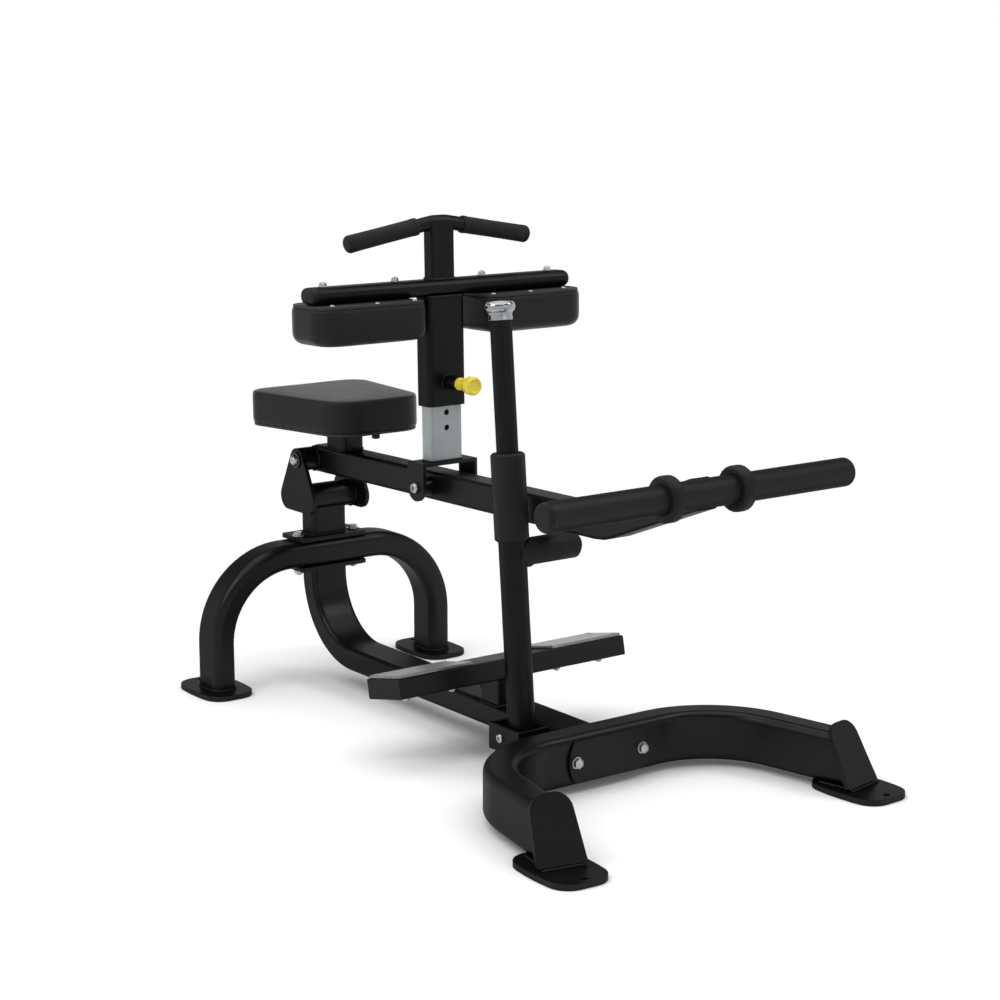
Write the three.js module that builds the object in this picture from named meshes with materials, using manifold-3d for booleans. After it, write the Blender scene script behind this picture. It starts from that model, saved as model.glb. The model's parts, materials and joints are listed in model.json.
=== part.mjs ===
// Seated calf raise machine, in millimetres, +Z up.
// The user sits facing -Y, so +X is the user's left. The floor is z = 0.
// Inside the machine group y = 0 is the middle of the rear arch; the last lines centre the machine.
import * as THREE from "three";
import { mergeVertices } from "three/addons/utils/BufferGeometryUtils.js";
import Module from "manifold-3d";

const wasm = await Module();
wasm.setup();

// General fits and stock
const joint_gap = 0.3;
const slide_gap = 0.5;
const turn_gap = 0.4;
const overrun = 20;
const tube_wall = 3;
const corner_steps = 2;
const round_steps = 24;
const bend_steps = 6;
const arc_steps = 12;
const small_arc_steps = 8;
const fine_corner_steps = 4;
const cushion_corner_steps = 5;
const grip_steps = 18;
const head_sides = 6;

// Floor plates
const floor_plate_thickness = 10;
const floor_hole_radius = 6;
const floor_hole_inset = 16;

// Rear arch: legs and crossbar in one bent tube
const arch_half_span = 251.8;
const arch_depth = 75;
const arch_thickness = 50;
const arch_corner = 18;
const arch_top = 276;
const arch_bend_radius = 155;
const rear_plate_length = 155;
const rear_plate_width = 104;
const rear_plate_end_width = 90;
const rear_plate_set_back = 5;
const plate_corner = 36;
const plate_steps = 4;

// Base tube: hangs under the arch, bends forward and runs to the front frame
const base_width = 81;
const base_thickness = 45;
const base_corner = 11;
const base_bend_radius = 148;
const base_clear_height = 37;
const base_set_back = 6;
const flange_depth = 78;
const flange_corner = 8;
const flange_thickness = 8;
const flange_bolt_offset = 63;
const flange_bolt_margin = 13;
const flange_length = 2 * (flange_bolt_offset + flange_bolt_margin);
const flange_bolt_radius = 6;
const flange_head_radius = 11;
const flange_head_height = 8;
const flange_nut_height = 10;
const drain_radius = 6;

// Pivot post, cross tube and pivot brackets
const cross_tube_radius = 26;
const cross_tube_rise = 83;
const cross_tube_height = arch_top + cross_tube_rise;
const pivot_rise = 77;
const pivot_height = cross_tube_height + pivot_rise;
const bracket_outer_half_span = 65;
const bracket_thickness = 8;
const bracket_top_radius = 23;
const bracket_low_radius = 26;
const bracket_low_spread = 35;
const pivot_bolt_radius = 10;
const pivot_head_radius = 16;
const pivot_head_height = 10;

// Front frame: crossbar and two legs in one bent tube
const front_crossbar_distance = 858;
const front_depth = 58;
const front_height = 88;
const front_corner = 14;
const front_straight_half = 121;
const front_bend_radius = 165;
const front_splay = 11.5;
const front_leg_run = 308;
const front_leg_bottom_reach = front_crossbar_distance + front_leg_run;
const front_leg_slant = 27;
const cap_plate_thickness = 8;
const cap_plate_foot_width = 86;
const cap_plate_top_width = 74;
const cap_plate_top_corner = 30;
const cap_plate_foot_corner = 3;
const cap_plate_rise = 13;
const front_plate_length = 156;
const front_plate_width = 108;
const front_plate_end_width = 92;
const front_plate_set_back = 3;
const front_plate_turn = 3;
const front_bolt_offset = 71;
const front_bolt_margin = 15;
const clamp_plate_half_length = front_bolt_offset + front_bolt_margin;
const clamp_plate_height = 72;
const clamp_plate_end_radius = 60;
const clamp_plate_thickness = 5;
const end_plate_half_length = clamp_plate_half_length;
const front_bolt_radius = 6;
const front_head_radius = 11.5;
const front_head_height = 9;
const front_nut_height = 10;

// Foot bar on its riser
const foot_bar_length = 497;
const foot_bar_depth = 101.5;
const foot_bar_thickness = 36;
const foot_bar_edge = 3;
const foot_bar_inner_edge = 1;
const foot_bar_wall = 3;
const drain_place_share = 0.33;
const foot_bar_tilt = 12.2;
const foot_bar_set_back = 197;
const foot_bar_front_distance = front_crossbar_distance - front_depth / 2 - foot_bar_set_back;
const foot_bar_front_low = 132;
const tread_length = 158;
const tread_thickness = 5;
const tread_margin = 3;
const riser_width = 80;
const riser_depth = 52;
const riser_set_in = 3;
const gusset_thickness = 6;
const gusset_run = 28;
const gusset_height_share = 0.75;

// Catch: a leaning lever in a socket beside the base tube
const catch_tube_radius = 24.15;
const catch_side_gap = 1.35;
const catch_half_offset = base_width / 2 + catch_side_gap + catch_tube_radius;
const catch_set_back = 107;
const catch_distance = front_crossbar_distance - front_depth / 2 - catch_set_back;
const catch_pivot_height = 60;
const catch_lean = 5;
const catch_bolt_set_back = 12;
const socket_lead = 9;
const socket_distance = catch_distance + socket_lead;
const socket_length = 86;
const socket_wall = 6;
const socket_side_gap = 7.85;
const socket_half_span = catch_half_offset + catch_tube_radius + socket_side_gap + socket_wall;
const socket_low = 35;
const socket_top = 82;
const catch_bolt_radius = 6;
const catch_head_radius = 8;
const catch_head_height = 5;
const catch_tube_foot = 18;
const peg_radius = 24;
const peg_clearance = 22.8;
const sleeve_above_peg = 22;
const catch_tube_in_sleeve = 82;
const catch_sleeve_radius = 30;
const catch_sleeve_length = 152;
const catch_sleeve_chamfer = 4;
const catch_handle_radius = 19;
const catch_handle_reach = 225;
const catch_handle_overlap = 60;
const catch_cap_neck_radius = 20.5;
const catch_cap_height = 32;
const peg_end_reach = 139;
const peg_rib_radius = 27;
const peg_rib_width = 8;
const peg_dome = 8;

// Lever: hinged at the pivot and lifted a little, as the machine stands with its peg clear
const lever_lift = 1.1;
const lever_width = 52;
const lever_height = 52.5;
const lever_corner = 8;
const hub_radius = 23;
const hub_bore_radius = 14;
const lever_bend_distance = 890;
const lever_bend_radius = 100;
const gooseneck_run = 226;
const horn_distance = lever_bend_distance + gooseneck_run;
const horn_rise = 82.5;
const horn_radius = 24.15;
const horn_bar_half_length = 311;
const horn_cap_plug = 20;
const horn_cap_dome = 7;
const horn_cap_shoulder_height = 5;
const horn_cap_shoulder = 2.5;
const collar_offset = 73.5;
const collar_radius = 37.5;
const collar_width = 24;
const collar_edge = 4;

// Seat on the lever
const seat_post_distance = 76;
const seat_post_width = 54;
const seat_post_depth = 62;
const seat_post_corner = 13;
const seat_post_height = 43;
const seat_board_thickness = 5;
const seat_board_margin = 4;
const seat_front = 215;
const seat_rear = 79;
const seat_front_half_width = 105;
const seat_rear_half_width = 132;
const seat_front_corner = 60;
const seat_rear_corner = 42;
const seat_thickness = 65;
const seat_crown = 2.5;
const seat_side_draw = 1;
const seat_top_edge = 9;
const seat_low_edge = 4;

// Saddle that rocks on the lever and carries the inner post
const saddle_distance = 405;
const saddle_outer_half_span = 60;
const saddle_thickness = 6;
const saddle_depth = 50;
const saddle_low_radius = 25;
const saddle_corner = 1;
const saddle_clearance = 14;
const boss_radius = 17;
const saddle_bolt_radius = 8;
const saddle_head_radius = 12;
const saddle_head_height = 12;
const inner_post_width = 70;
const inner_post_depth = 32;
const inner_post_corner = 6;
const inner_post_length = 214;
const post_hole_radius = 5.5;
const post_hole_pitch = 28;
const post_hole_count = 6;
const post_hole_first = 60;

// Knee carriage: sleeve, beam, pads, handle
const sleeve_width = 82;
const sleeve_depth = 45;
const sleeve_corner = 11;
const sleeve_rise = 100.45;
const sleeve_length = 198;
const liner_wall = 2.5;
const liner_lip = 4;
const beam_width = 50;
const beam_height = 30;
const beam_cap_plug = 14;
const beam_cap_dome = 10;
const upper_post_width = 50;
const upper_post_depth = 30;
const upper_post_corner = 6;
const upper_post_length = 100.4;
const handle_radius = 13;
const handle_flat_half = 14;
const handle_drop = 30;
const handle_half_span = 190;
const handle_bend_radius = 60;
const grip_radius = 15.9;
const grip_length = 150;
const grip_end_wall = 6;
const grip_dome = 4;
const pad_board_thickness = 5;
const pad_board_margin = 4;
const pad_side_gap = 25;
const pad_inner = sleeve_width / 2 + pad_side_gap;
const pad_length = 225;
const pad_outer = pad_inner + pad_length;
const beam_set_in = 22;
const beam_half_length = pad_outer - beam_set_in;
const pad_depth = 134;
const pad_inner_corner = 22;
const pad_outer_corner = 44;
const pad_thickness = 67.5;
const pad_crown = 3;
const pad_side_draw = 1;
const pad_top_edge = 4;
const pad_low_edge = 24;

// Pull pin on the sleeve's front face, level with one of the post's holes
const pin_hole_number = 3;
const housing_radius = 13;
const housing_length = 34;
const housing_bore_radius = 9;
const pin_radius = 5;
const knob_neck_radius = 9;
const knob_head_radius = 17;
const knob_neck_length = 14;
const knob_flare_length = 24;
const knob_head_length = 12;
const knob_edge = 4;
const spring_radius = 7.6;
const spring_bore_radius = 5.8;
const spring_length = 12;

// Finishes
const finish = (color, roughness, metalness) =>
  new THREE.MeshStandardMaterial({ color, roughness, metalness });
const black_paint = finish(0x202123, 0.45, 0.3);
const vinyl = finish(0x2a2b2c, 0.62, 0);
const rubber = finish(0x19191a, 0.8, 0);
const board = finish(0x18181a, 0.75, 0);
const nylon = finish(0x101011, 0.55, 0);
const plated_steel = finish(0xa4abb1, 0.35, 0.6);
const zinc = finish(0xc4c7c9, 0.3, 0.9);
const chrome = finish(0xdadde0, 0.12, 1);
const tread_metal = finish(0xb9bbbb, 0.5, 0.7);
const yellow_plastic = finish(0xe2cf33, 0.4, 0);
const spring_steel = finish(0x8d9093, 0.4, 0.8);

const degrees = Math.PI / 180;
const sides = [["left", 1], ["right", -1]];

// Outlines

// The outline round a ring of circles [x, y, radius], given anticlockwise.
function around(circles, Path = THREE.Shape) {
  const count = circles.length;
  const normals = circles.map(([x, y, radius], i) => {
    const [x2, y2, radius2] = circles[(i + 1) % count];
    const run = Math.hypot(x2 - x, y2 - y);
    return Math.atan2(y2 - y, x2 - x) - Math.acos((radius - radius2) / run);
  });
  const path = new Path();
  circles.forEach(([x, y, radius], i) => {
    const start = normals[(i + count - 1) % count];
    let end = normals[i];
    while (end < start) end += 2 * Math.PI;
    path.absarc(x, y, radius, start, end, false);
  });
  path.closePath();
  return path;
}

function rectangle(width, height, corner, Path = THREE.Shape) {
  const x = width / 2 - corner;
  const y = height / 2 - corner;
  return around([[x, y, corner], [-x, y, corner], [-x, -y, corner], [x, -y, corner]], Path);
}

function boxTube(width, height, corner, wall = tube_wall) {
  const shape = rectangle(width, height, corner);
  shape.holes.push(rectangle(width - 2 * wall, height - 2 * wall, corner - wall, THREE.Path));
  return shape;
}

function disc(radius, bore = 0) {
  const shape = new THREE.Shape();
  shape.absarc(0, 0, radius, 0, 2 * Math.PI, false);
  if (bore > 0) shape.holes.push(new THREE.Path().absarc(0, 0, bore, 0, 2 * Math.PI, false));
  return shape;
}

// A plate with straight short ends, long sides that bow out and rounded corners.
function bowedPlate(length, width, end_width) {
  const bow = (width - end_width) / 2;
  const radius = ((length / 2) ** 2 + bow ** 2) / (2 * bow);
  const middle = width / 2 - radius;
  const corner_y = length / 2 - plate_corner;
  const corner_x = middle + Math.sqrt((radius - plate_corner) ** 2 - corner_y ** 2);
  const meet = Math.atan2(corner_y, corner_x - middle);
  const shape = new THREE.Shape();
  shape.absarc(middle, 0, radius, -meet, meet, false);
  shape.absarc(corner_x, corner_y, plate_corner, meet, Math.PI / 2, false);
  shape.absarc(-corner_x, corner_y, plate_corner, Math.PI / 2, Math.PI - meet, false);
  shape.absarc(-middle, 0, radius, Math.PI - meet, Math.PI + meet, false);
  shape.absarc(-corner_x, -corner_y, plate_corner, Math.PI + meet, Math.PI * 1.5, false);
  shape.absarc(corner_x, -corner_y, plate_corner, Math.PI * 1.5, 2 * Math.PI - meet, false);
  shape.closePath();
  return shape;
}

// Solids

function extrude(shape, depth, steps = corner_steps) {
  return new THREE.ExtrudeGeometry(shape, { depth, bevelEnabled: false, curveSegments: steps });
}

// A path through corner points in one plane, each inner corner an arc.
// Sections keep their x along the plane's normal.
class BentPath extends THREE.Curve {
  constructor(points, normal, radii) {
    super();
    this.normal = normal;
    this.stations = [];
    const last = points.length - 1;
    const heading = (i) => points[i + 1].clone().sub(points[i]).normalize();
    this.stations.push([points[0], heading(0)]);
    for (let i = 1; i < last; i += 1) {
      const [before, after] = [heading(i - 1), heading(i)];
      const turn = before.angleTo(after);
      const radius = radii[i - 1];
      const start = points[i].clone().addScaledVector(before, -radius * Math.tan(turn / 2));
      const inward = after.clone().addScaledVector(before, -after.dot(before)).normalize();
      const steps = Math.max(2, Math.ceil((bend_steps * turn) / (Math.PI / 2)));
      for (let k = 0; k <= steps; k += 1) {
        const angle = (turn * k) / steps;
        const point = start.clone().addScaledVector(before, radius * Math.sin(angle));
        point.addScaledVector(inward, radius * (1 - Math.cos(angle)));
        const tangent = before.clone().multiplyScalar(Math.cos(angle));
        tangent.addScaledVector(inward, Math.sin(angle));
        this.stations.push([point, tangent]);
      }
    }
    this.stations.push([points[last], heading(last - 1)]);
  }
  get steps() {
    return this.stations.length - 1;
  }
  getSpacedPoints() {
    return this.stations.map(([point]) => point);
  }
  computeFrenetFrames() {
    const tangents = this.stations.map(([, tangent]) => tangent);
    const normals = tangents.map(() => this.normal.clone());
    const binormals = tangents.map((tangent) => tangent.clone().cross(this.normal));
    return { tangents, normals, binormals };
  }
}

function bend(shape, path, curve_steps = corner_steps) {
  const options = { extrudePath: path, steps: path.steps, curveSegments: curve_steps };
  return new THREE.ExtrudeGeometry(shape, { ...options, bevelEnabled: false });
}

// A turned solid along +Z from a closed profile of [radius, z].
function turned(profile, steps = round_steps) {
  const points = profile.map(([radius, z]) => new THREE.Vector2(radius, z));
  return new THREE.LatheGeometry(points, steps).rotateX(Math.PI / 2);
}

const rod = (radius, length, steps = round_steps) =>
  turned([[0, 0], [radius, 0], [radius, length], [0, length]], steps);

// A rod along X, centred on the origin.
const acrossX = (radius, half_length, steps = round_steps) =>
  alongX(rod(radius, 2 * half_length, steps)).translate(-half_length, 0, 0);

// A bolt along X with a head at both ends, its heads a half span away from the middle.
function twoHeadedBolt(half_span, radius, head_radius, head_height, steps = round_steps) {
  const end = half_span + head_height;
  const profile = [
    [0, -end],
    [head_radius, -end],
    [head_radius, -half_span],
    [radius, -half_span],
    [radius, half_span],
    [head_radius, half_span],
    [head_radius, end],
    [0, end],
  ];
  return alongX(turned(profile, steps));
}

// Turns a solid that runs along +Z so that it runs along another axis.
const alongX = (geometry) => geometry.rotateY(Math.PI / 2);
const alongY = (geometry) => geometry.rotateX(-Math.PI / 2);
const alongMinusY = (geometry) => geometry.rotateX(Math.PI / 2);

// Turns a flat shape so that its thickness runs along +X, its x along +Y and its y along +Z.
const facingX = (geometry) => geometry.rotateX(Math.PI / 2).rotateZ(Math.PI / 2);

function solid(geometry) {
  const bare = geometry.clone();
  bare.deleteAttribute("normal");
  bare.deleteAttribute("uv");
  const merged = mergeVertices(bare);
  const vertProperties = new Float32Array(merged.attributes.position.array);
  const triVerts = new Uint32Array(merged.index.array);
  return new wasm.Manifold(new wasm.Mesh({ numProp: 3, vertProperties, triVerts }));
}

function surface(manifold) {
  const { vertProperties, triVerts } = manifold.getMesh();
  const geometry = new THREE.BufferGeometry();
  geometry.setAttribute("position", new THREE.BufferAttribute(vertProperties, 3));
  geometry.setIndex(new THREE.BufferAttribute(triVerts, 1));
  return geometry;
}

const cut = (geometry, ...tools) =>
  surface(tools.reduce((body, tool) => body.subtract(solid(tool)), solid(geometry)));
const join = (geometry, ...others) =>
  surface(others.reduce((body, other) => body.add(solid(other)), solid(geometry)));

// A closed skin over rings of points, its ends closed to their middles.
function loft(rings) {
  const count = rings[0].length;
  const middle = (ring) =>
    ring.reduce((sum, point) => sum.add(point), new THREE.Vector3()).divideScalar(count);
  const points = [middle(rings[0]), ...rings.flat(), middle(rings[rings.length - 1])];
  const index = [];
  for (let i = 0; i < count; i += 1) {
    const j = (i + 1) % count;
    index.push(0, 1 + j, 1 + i);
    for (let r = 0; r < rings.length - 1; r += 1) {
      const [low, high] = [1 + r * count, 1 + (r + 1) * count];
      index.push(low + i, low + j, high + j, low + i, high + j, high + i);
    }
    const top = 1 + (rings.length - 1) * count;
    index.push(points.length - 1, top + i, top + j);
  }
  const geometry = new THREE.BufferGeometry().setFromPoints(points);
  geometry.setIndex(index);
  return geometry;
}

// A cushion on z = 0: rounded edges, sides drawn in at mid height and a crowned top.
function cushion(outline, thickness, crown, side_draw, low_edge, top_edge) {
  const edge_steps = 3;
  const side_steps = 3;
  const crown_steps = 5;
  const points = outline.getPoints(cushion_corner_steps).slice(0, -1);
  const count = points.length;
  const inset = points.map((point, i) => {
    const along = points[(i + 1) % count].clone().sub(points[(i + count - 1) % count]);
    return new THREE.Vector2(-along.y, along.x).normalize();
  });
  const ring = (depth, z) =>
    points.map((p, i) => new THREE.Vector3(p.x + inset[i].x * depth, p.y + inset[i].y * depth, z));
  const rings = [];
  for (let k = 0; k <= edge_steps; k += 1) {
    const angle = (Math.PI / 2) * (k / edge_steps);
    rings.push(ring(low_edge * (1 - Math.sin(angle)), low_edge * (1 - Math.cos(angle))));
  }
  const shoulder = thickness - crown - top_edge;
  for (let k = 1; k < side_steps; k += 1) {
    const share = k / side_steps;
    const z = low_edge + (shoulder - low_edge) * share;
    rings.push(ring(side_draw * Math.sin(Math.PI * share), z));
  }
  for (let k = 0; k <= edge_steps; k += 1) {
    const angle = (Math.PI / 2) * (k / edge_steps);
    rings.push(ring(top_edge * (1 - Math.cos(angle)), shoulder + top_edge * Math.sin(angle)));
  }
  const rim = rings[rings.length - 1];
  const centre = rim.reduce((sum, p) => sum.add(p), new THREE.Vector3()).divideScalar(count);
  for (let k = 1; k < crown_steps; k += 1) {
    const share = k / crown_steps;
    const rise = crown * (1 - (1 - share) ** 2);
    rings.push(rim.map((p) => p.clone().lerp(centre, share).add(new THREE.Vector3(0, 0, rise))));
  }
  const skin = loft(rings);
  const peak = skin.attributes.position.count - 1;
  skin.attributes.position.setZ(peak, thickness);
  return skin;
}

// Assembly

const machine = new THREE.Group();

function piece(name, geometry, material, parent) {
  const mesh = new THREE.Mesh(geometry, material);
  mesh.name = name;
  parent.add(mesh);
  return mesh;
}

function group(parent, x, y, z) {
  const made = new THREE.Group();
  made.position.set(x, y, z);
  parent.add(made);
  return made;
}

// Rear arch and its floor plates
function addRearArch() {
  const rail = arch_top - arch_thickness / 2;
  const foot = floor_plate_thickness + joint_gap;
  const corners = [
    new THREE.Vector3(-arch_half_span, 0, foot),
    new THREE.Vector3(-arch_half_span, 0, rail),
    new THREE.Vector3(arch_half_span, 0, rail),
    new THREE.Vector3(arch_half_span, 0, foot),
  ];
  const path = new BentPath(corners, new THREE.Vector3(0, -1, 0), [arch_bend_radius, arch_bend_radius]);
  const tube = bend(boxTube(arch_depth, arch_thickness, arch_corner), path);
  const holes = sides.map(([, side]) => {
    const hole = rod(flange_bolt_radius + joint_gap, arch_thickness + overrun, round_steps / 2);
    return hole.translate(side * flange_bolt_offset, 0, rail - (arch_thickness + overrun) / 2);
  });
  piece("rear_arch", cut(tube, ...holes), black_paint, machine);
  for (const [name, side] of sides) {
    const shape = bowedPlate(rear_plate_length, rear_plate_width, rear_plate_end_width);
    const plate = extrude(shape, floor_plate_thickness, plate_steps);
    const hole = rod(floor_hole_radius, floor_plate_thickness + 2 * overrun, round_steps / 2);
    hole.translate(0, rear_plate_length / 2 - floor_hole_inset, -overrun);
    const mesh = piece(`rear_foot_plate_${name}`, cut(plate, hole), black_paint, machine);
    mesh.position.set(side * arch_half_span, rear_plate_set_back, 0);
  }
}

const flange = () => extrude(rectangle(flange_length, flange_depth, flange_corner), flange_thickness);

// Base tube with the flange and the end plate that are welded to it
const base_top = base_clear_height + base_thickness;
const crossbar_rear = front_crossbar_distance - front_depth / 2;
const front_middle = floor_plate_thickness + joint_gap + front_height / 2;

function flangeBoltHoles(z, length) {
  return sides.map(([, side]) => {
    const hole = rod(flange_bolt_radius + joint_gap, length + 2 * overrun, round_steps / 2);
    return hole.translate(side * flange_bolt_offset, -base_set_back, z - overrun);
  });
}

function addBaseTube() {
  const head = arch_top - arch_thickness - joint_gap - flange_thickness;
  const floor_line = base_clear_height + base_thickness / 2;
  const end = -(crossbar_rear - joint_gap - flange_thickness) - base_set_back;
  const corners = [
    new THREE.Vector3(0, 0, head),
    new THREE.Vector3(0, 0, floor_line),
    new THREE.Vector3(0, end, floor_line),
  ];
  const path = new BentPath(corners, new THREE.Vector3(1, 0, 0), [base_bend_radius]);
  const outer = bend(rectangle(base_width, base_thickness, base_corner), path);
  const inner_size = [base_width - 2 * tube_wall, base_thickness - 2 * tube_wall, base_corner - tube_wall];
  const inner = bend(rectangle(...inner_size), path);
  const drain = rod(drain_radius, base_thickness / 2, round_steps / 2);
  drain.translate(0, -crossbar_rear / 2, base_clear_height - base_thickness / 4);
  const top_plate = flange().translate(0, 0, head);
  const end_shape = rectangle(2 * end_plate_half_length, clamp_plate_height, flange_corner);
  const end_plate = alongMinusY(extrude(end_shape, flange_thickness));
  end_plate.translate(0, end, front_middle);
  const front_holes = sides.map(([, side]) => {
    const hole = alongMinusY(rod(front_bolt_radius + joint_gap, 2 * overrun, round_steps / 2));
    return hole.translate(side * front_bolt_offset, end + overrun, front_middle);
  });
  const body = join(cut(outer, inner), top_plate, end_plate);
  const bolt_holes = flangeBoltHoles(head, flange_thickness);
  const tube = cut(body, drain, ...bolt_holes, ...front_holes);
  piece("base_tube", tube, black_paint, machine).position.set(0, base_set_back, 0);
}

// Pivot post with its flange, cross tube, two brackets and the pivot bolt
function addPivotStand() {
  const seat = arch_top + joint_gap;
  const stand = group(machine, 0, base_set_back, 0);
  const height = cross_tube_height - seat;
  const post = extrude(boxTube(base_width, base_thickness, base_corner), height).translate(0, 0, seat);
  const cope = acrossX(cross_tube_radius + joint_gap, base_width);
  cope.translate(0, -base_set_back, cross_tube_height);
  const foot = flange().translate(0, 0, seat);
  const window = extrude(
    rectangle(base_width - 2 * tube_wall, base_thickness - 2 * tube_wall, base_corner - tube_wall),
    height,
  ).translate(0, 0, seat + flange_thickness);
  const body = join(cut(post, cope), foot);
  piece("pivot_post", cut(body, window, ...flangeBoltHoles(seat, flange_thickness)), black_paint, stand);

  const inner_half_span = bracket_outer_half_span - bracket_thickness;
  const tube_length = 2 * (inner_half_span - joint_gap);
  const ring = disc(cross_tube_radius, cross_tube_radius - tube_wall);
  const cross_tube = alongX(extrude(ring, tube_length, arc_steps));
  piece("cross_tube", cross_tube, black_paint, machine).position.set(-tube_length / 2, 0, cross_tube_height);

  const drop = cross_tube_height - pivot_height;
  for (const [name, side] of sides) {
    const shape = around([
      [0, 0, bracket_top_radius],
      [-bracket_low_spread, drop, bracket_low_radius],
      [bracket_low_spread, drop, bracket_low_radius],
    ]);
    const plate = facingX(extrude(shape, bracket_thickness, fine_corner_steps));
    const bore = acrossX(pivot_bolt_radius + joint_gap, bracket_thickness + overrun);
    const mesh = piece(`pivot_bracket_${name}`, cut(plate, bore), black_paint, machine);
    const inner = side > 0 ? inner_half_span : -bracket_outer_half_span;
    mesh.position.set(inner, 0, pivot_height);
  }

  const reach = bracket_outer_half_span + joint_gap;
  const bolt_body = twoHeadedBolt(reach, pivot_bolt_radius, pivot_head_radius, pivot_head_height);
  piece("pivot_bolt", bolt_body, zinc, machine).position.set(0, 0, pivot_height);
}

// A bolt along +Z: head below zero, shank and nut above the grip length.
function bolt(radius, head_radius, head_height, grip, nut_height) {
  const head = turned([[0, -head_height], [head_radius, -head_height], [head_radius, 0], [0, 0]], head_sides);
  const shank = rod(radius, grip + nut_height, round_steps / 2);
  const nut = rod(head_radius, nut_height, head_sides).translate(0, 0, grip);
  return join(head, shank, nut);
}

function addFlangeBolts() {
  const top = arch_top + joint_gap + flange_thickness + joint_gap;
  const low = arch_top - arch_thickness - joint_gap - flange_thickness - joint_gap;
  for (const [name, side] of sides) {
    const part = bolt(flange_bolt_radius, flange_head_radius, flange_head_height, top - low, flange_nut_height);
    const mesh = piece(`flange_bolt_${name}`, part.rotateX(Math.PI), zinc, machine);
    mesh.position.set(side * flange_bolt_offset, 0, top);
  }
}

// Front frame, its sloped cap plates and floor plates
const splay = front_splay * degrees;
const slant = front_leg_slant * degrees;

// The point where a leg's middle line, run on to the front, meets a distance from the arch.
function legX(distance) {
  const turn = Math.PI / 2 - splay;
  const corner_x = front_straight_half + front_bend_radius * Math.tan(turn / 2);
  return corner_x + (distance - front_crossbar_distance) * Math.tan(splay);
}

function addFrontFrame() {
  const reach = front_leg_bottom_reach + overrun;
  const corners = [
    new THREE.Vector3(-legX(reach), -reach, front_middle),
    new THREE.Vector3(-legX(front_crossbar_distance), -front_crossbar_distance, front_middle),
    new THREE.Vector3(legX(front_crossbar_distance), -front_crossbar_distance, front_middle),
    new THREE.Vector3(legX(reach), -reach, front_middle),
  ];
  const path = new BentPath(corners, new THREE.Vector3(0, 0, -1), [front_bend_radius, front_bend_radius]);
  const tube = bend(boxTube(front_height, front_depth, front_corner), path);
  const block_size = 3 * front_height;
  const blocks = sides.map(([, side]) => {
    const block = new THREE.BoxGeometry(block_size, block_size, block_size);
    block.translate(0, -block_size / 2, 0).rotateX(-slant).rotateZ(side * splay);
    const low = floor_plate_thickness;
    return block.translate(side * legX(front_leg_bottom_reach), -front_leg_bottom_reach, low);
  });
  const holes = sides.map(([, side]) => {
    const hole = alongMinusY(rod(front_bolt_radius + joint_gap, front_depth + 2 * overrun, round_steps / 2));
    return hole.translate(side * front_bolt_offset, -crossbar_rear + overrun, front_middle);
  });
  piece("front_frame", cut(tube, ...blocks, ...holes), black_paint, machine);

  const plate_height = (front_height + cap_plate_rise) / Math.cos(slant);
  for (const [name, side] of sides) {
    const foot = cap_plate_foot_width / 2 - cap_plate_foot_corner;
    const top = cap_plate_top_width / 2 - cap_plate_top_corner;
    const shape = around([
      [-foot, cap_plate_foot_corner, cap_plate_foot_corner],
      [foot, cap_plate_foot_corner, cap_plate_foot_corner],
      [top, plate_height - cap_plate_top_corner, cap_plate_top_corner],
      [-top, plate_height - cap_plate_top_corner, cap_plate_top_corner],
    ]);
    const plate = extrude(shape, cap_plate_thickness, fine_corner_steps).rotateX(Math.PI / 2);
    plate.translate(0, -joint_gap, 0).rotateX(-slant);
    const floor = new THREE.BoxGeometry(block_size, block_size, block_size);
    floor.translate(0, 0, joint_gap - block_size / 2);
    const mesh = piece(`front_cap_plate_${name}`, cut(plate, floor), black_paint, machine);
    mesh.position.set(side * legX(front_leg_bottom_reach), -front_leg_bottom_reach, floor_plate_thickness);
    mesh.rotation.z = side * splay;
  }

  for (const [name, side] of sides) {
    const shape = bowedPlate(front_plate_length, front_plate_width, front_plate_end_width);
    const plate = extrude(shape, floor_plate_thickness, plate_steps);
    const hole = rod(floor_hole_radius, floor_plate_thickness + 2 * overrun, round_steps / 2);
    hole.translate(0, floor_hole_inset - front_plate_length / 2, -overrun);
    const mesh = piece(`front_foot_plate_${name}`, cut(plate, hole), black_paint, machine);
    const distance = front_leg_bottom_reach - front_plate_set_back;
    mesh.position.set(side * legX(distance), -distance, 0);
    mesh.rotation.z = side * front_plate_turn * degrees;
  }
}

// Clamp plate on the crossbar's front face, with its two bolts
function addClampPlate() {
  const reach = clamp_plate_half_length - clamp_plate_end_radius;
  const ends = new THREE.Shape();
  const half = clamp_plate_height / 2;
  const sweep = Math.asin(half / clamp_plate_end_radius);
  ends.absarc(reach, 0, clamp_plate_end_radius, -sweep, sweep, false);
  ends.absarc(-reach, 0, clamp_plate_end_radius, Math.PI - sweep, Math.PI + sweep, false);
  ends.closePath();
  const face = -(front_crossbar_distance + front_depth / 2);
  const plate = alongMinusY(extrude(ends, clamp_plate_thickness, fine_corner_steps));
  const holes = sides.map(([, side]) => {
    const hole = alongMinusY(rod(front_bolt_radius + joint_gap, 2 * overrun, round_steps / 2));
    return hole.translate(side * front_bolt_offset, overrun, 0);
  });
  const mesh = piece("front_clamp_plate", cut(plate, ...holes), black_paint, machine);
  mesh.position.set(0, face - joint_gap, front_middle);

  const outer = face - joint_gap - clamp_plate_thickness - joint_gap;
  const rear = -crossbar_rear + joint_gap + flange_thickness + joint_gap;
  for (const [name, side] of sides) {
    const part = bolt(front_bolt_radius, front_head_radius, front_head_height, rear - outer, front_nut_height);
    piece(`front_bolt_${name}`, alongY(part), zinc, machine).position.set(
      side * front_bolt_offset,
      outer,
      front_middle,
    );
  }
}

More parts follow.
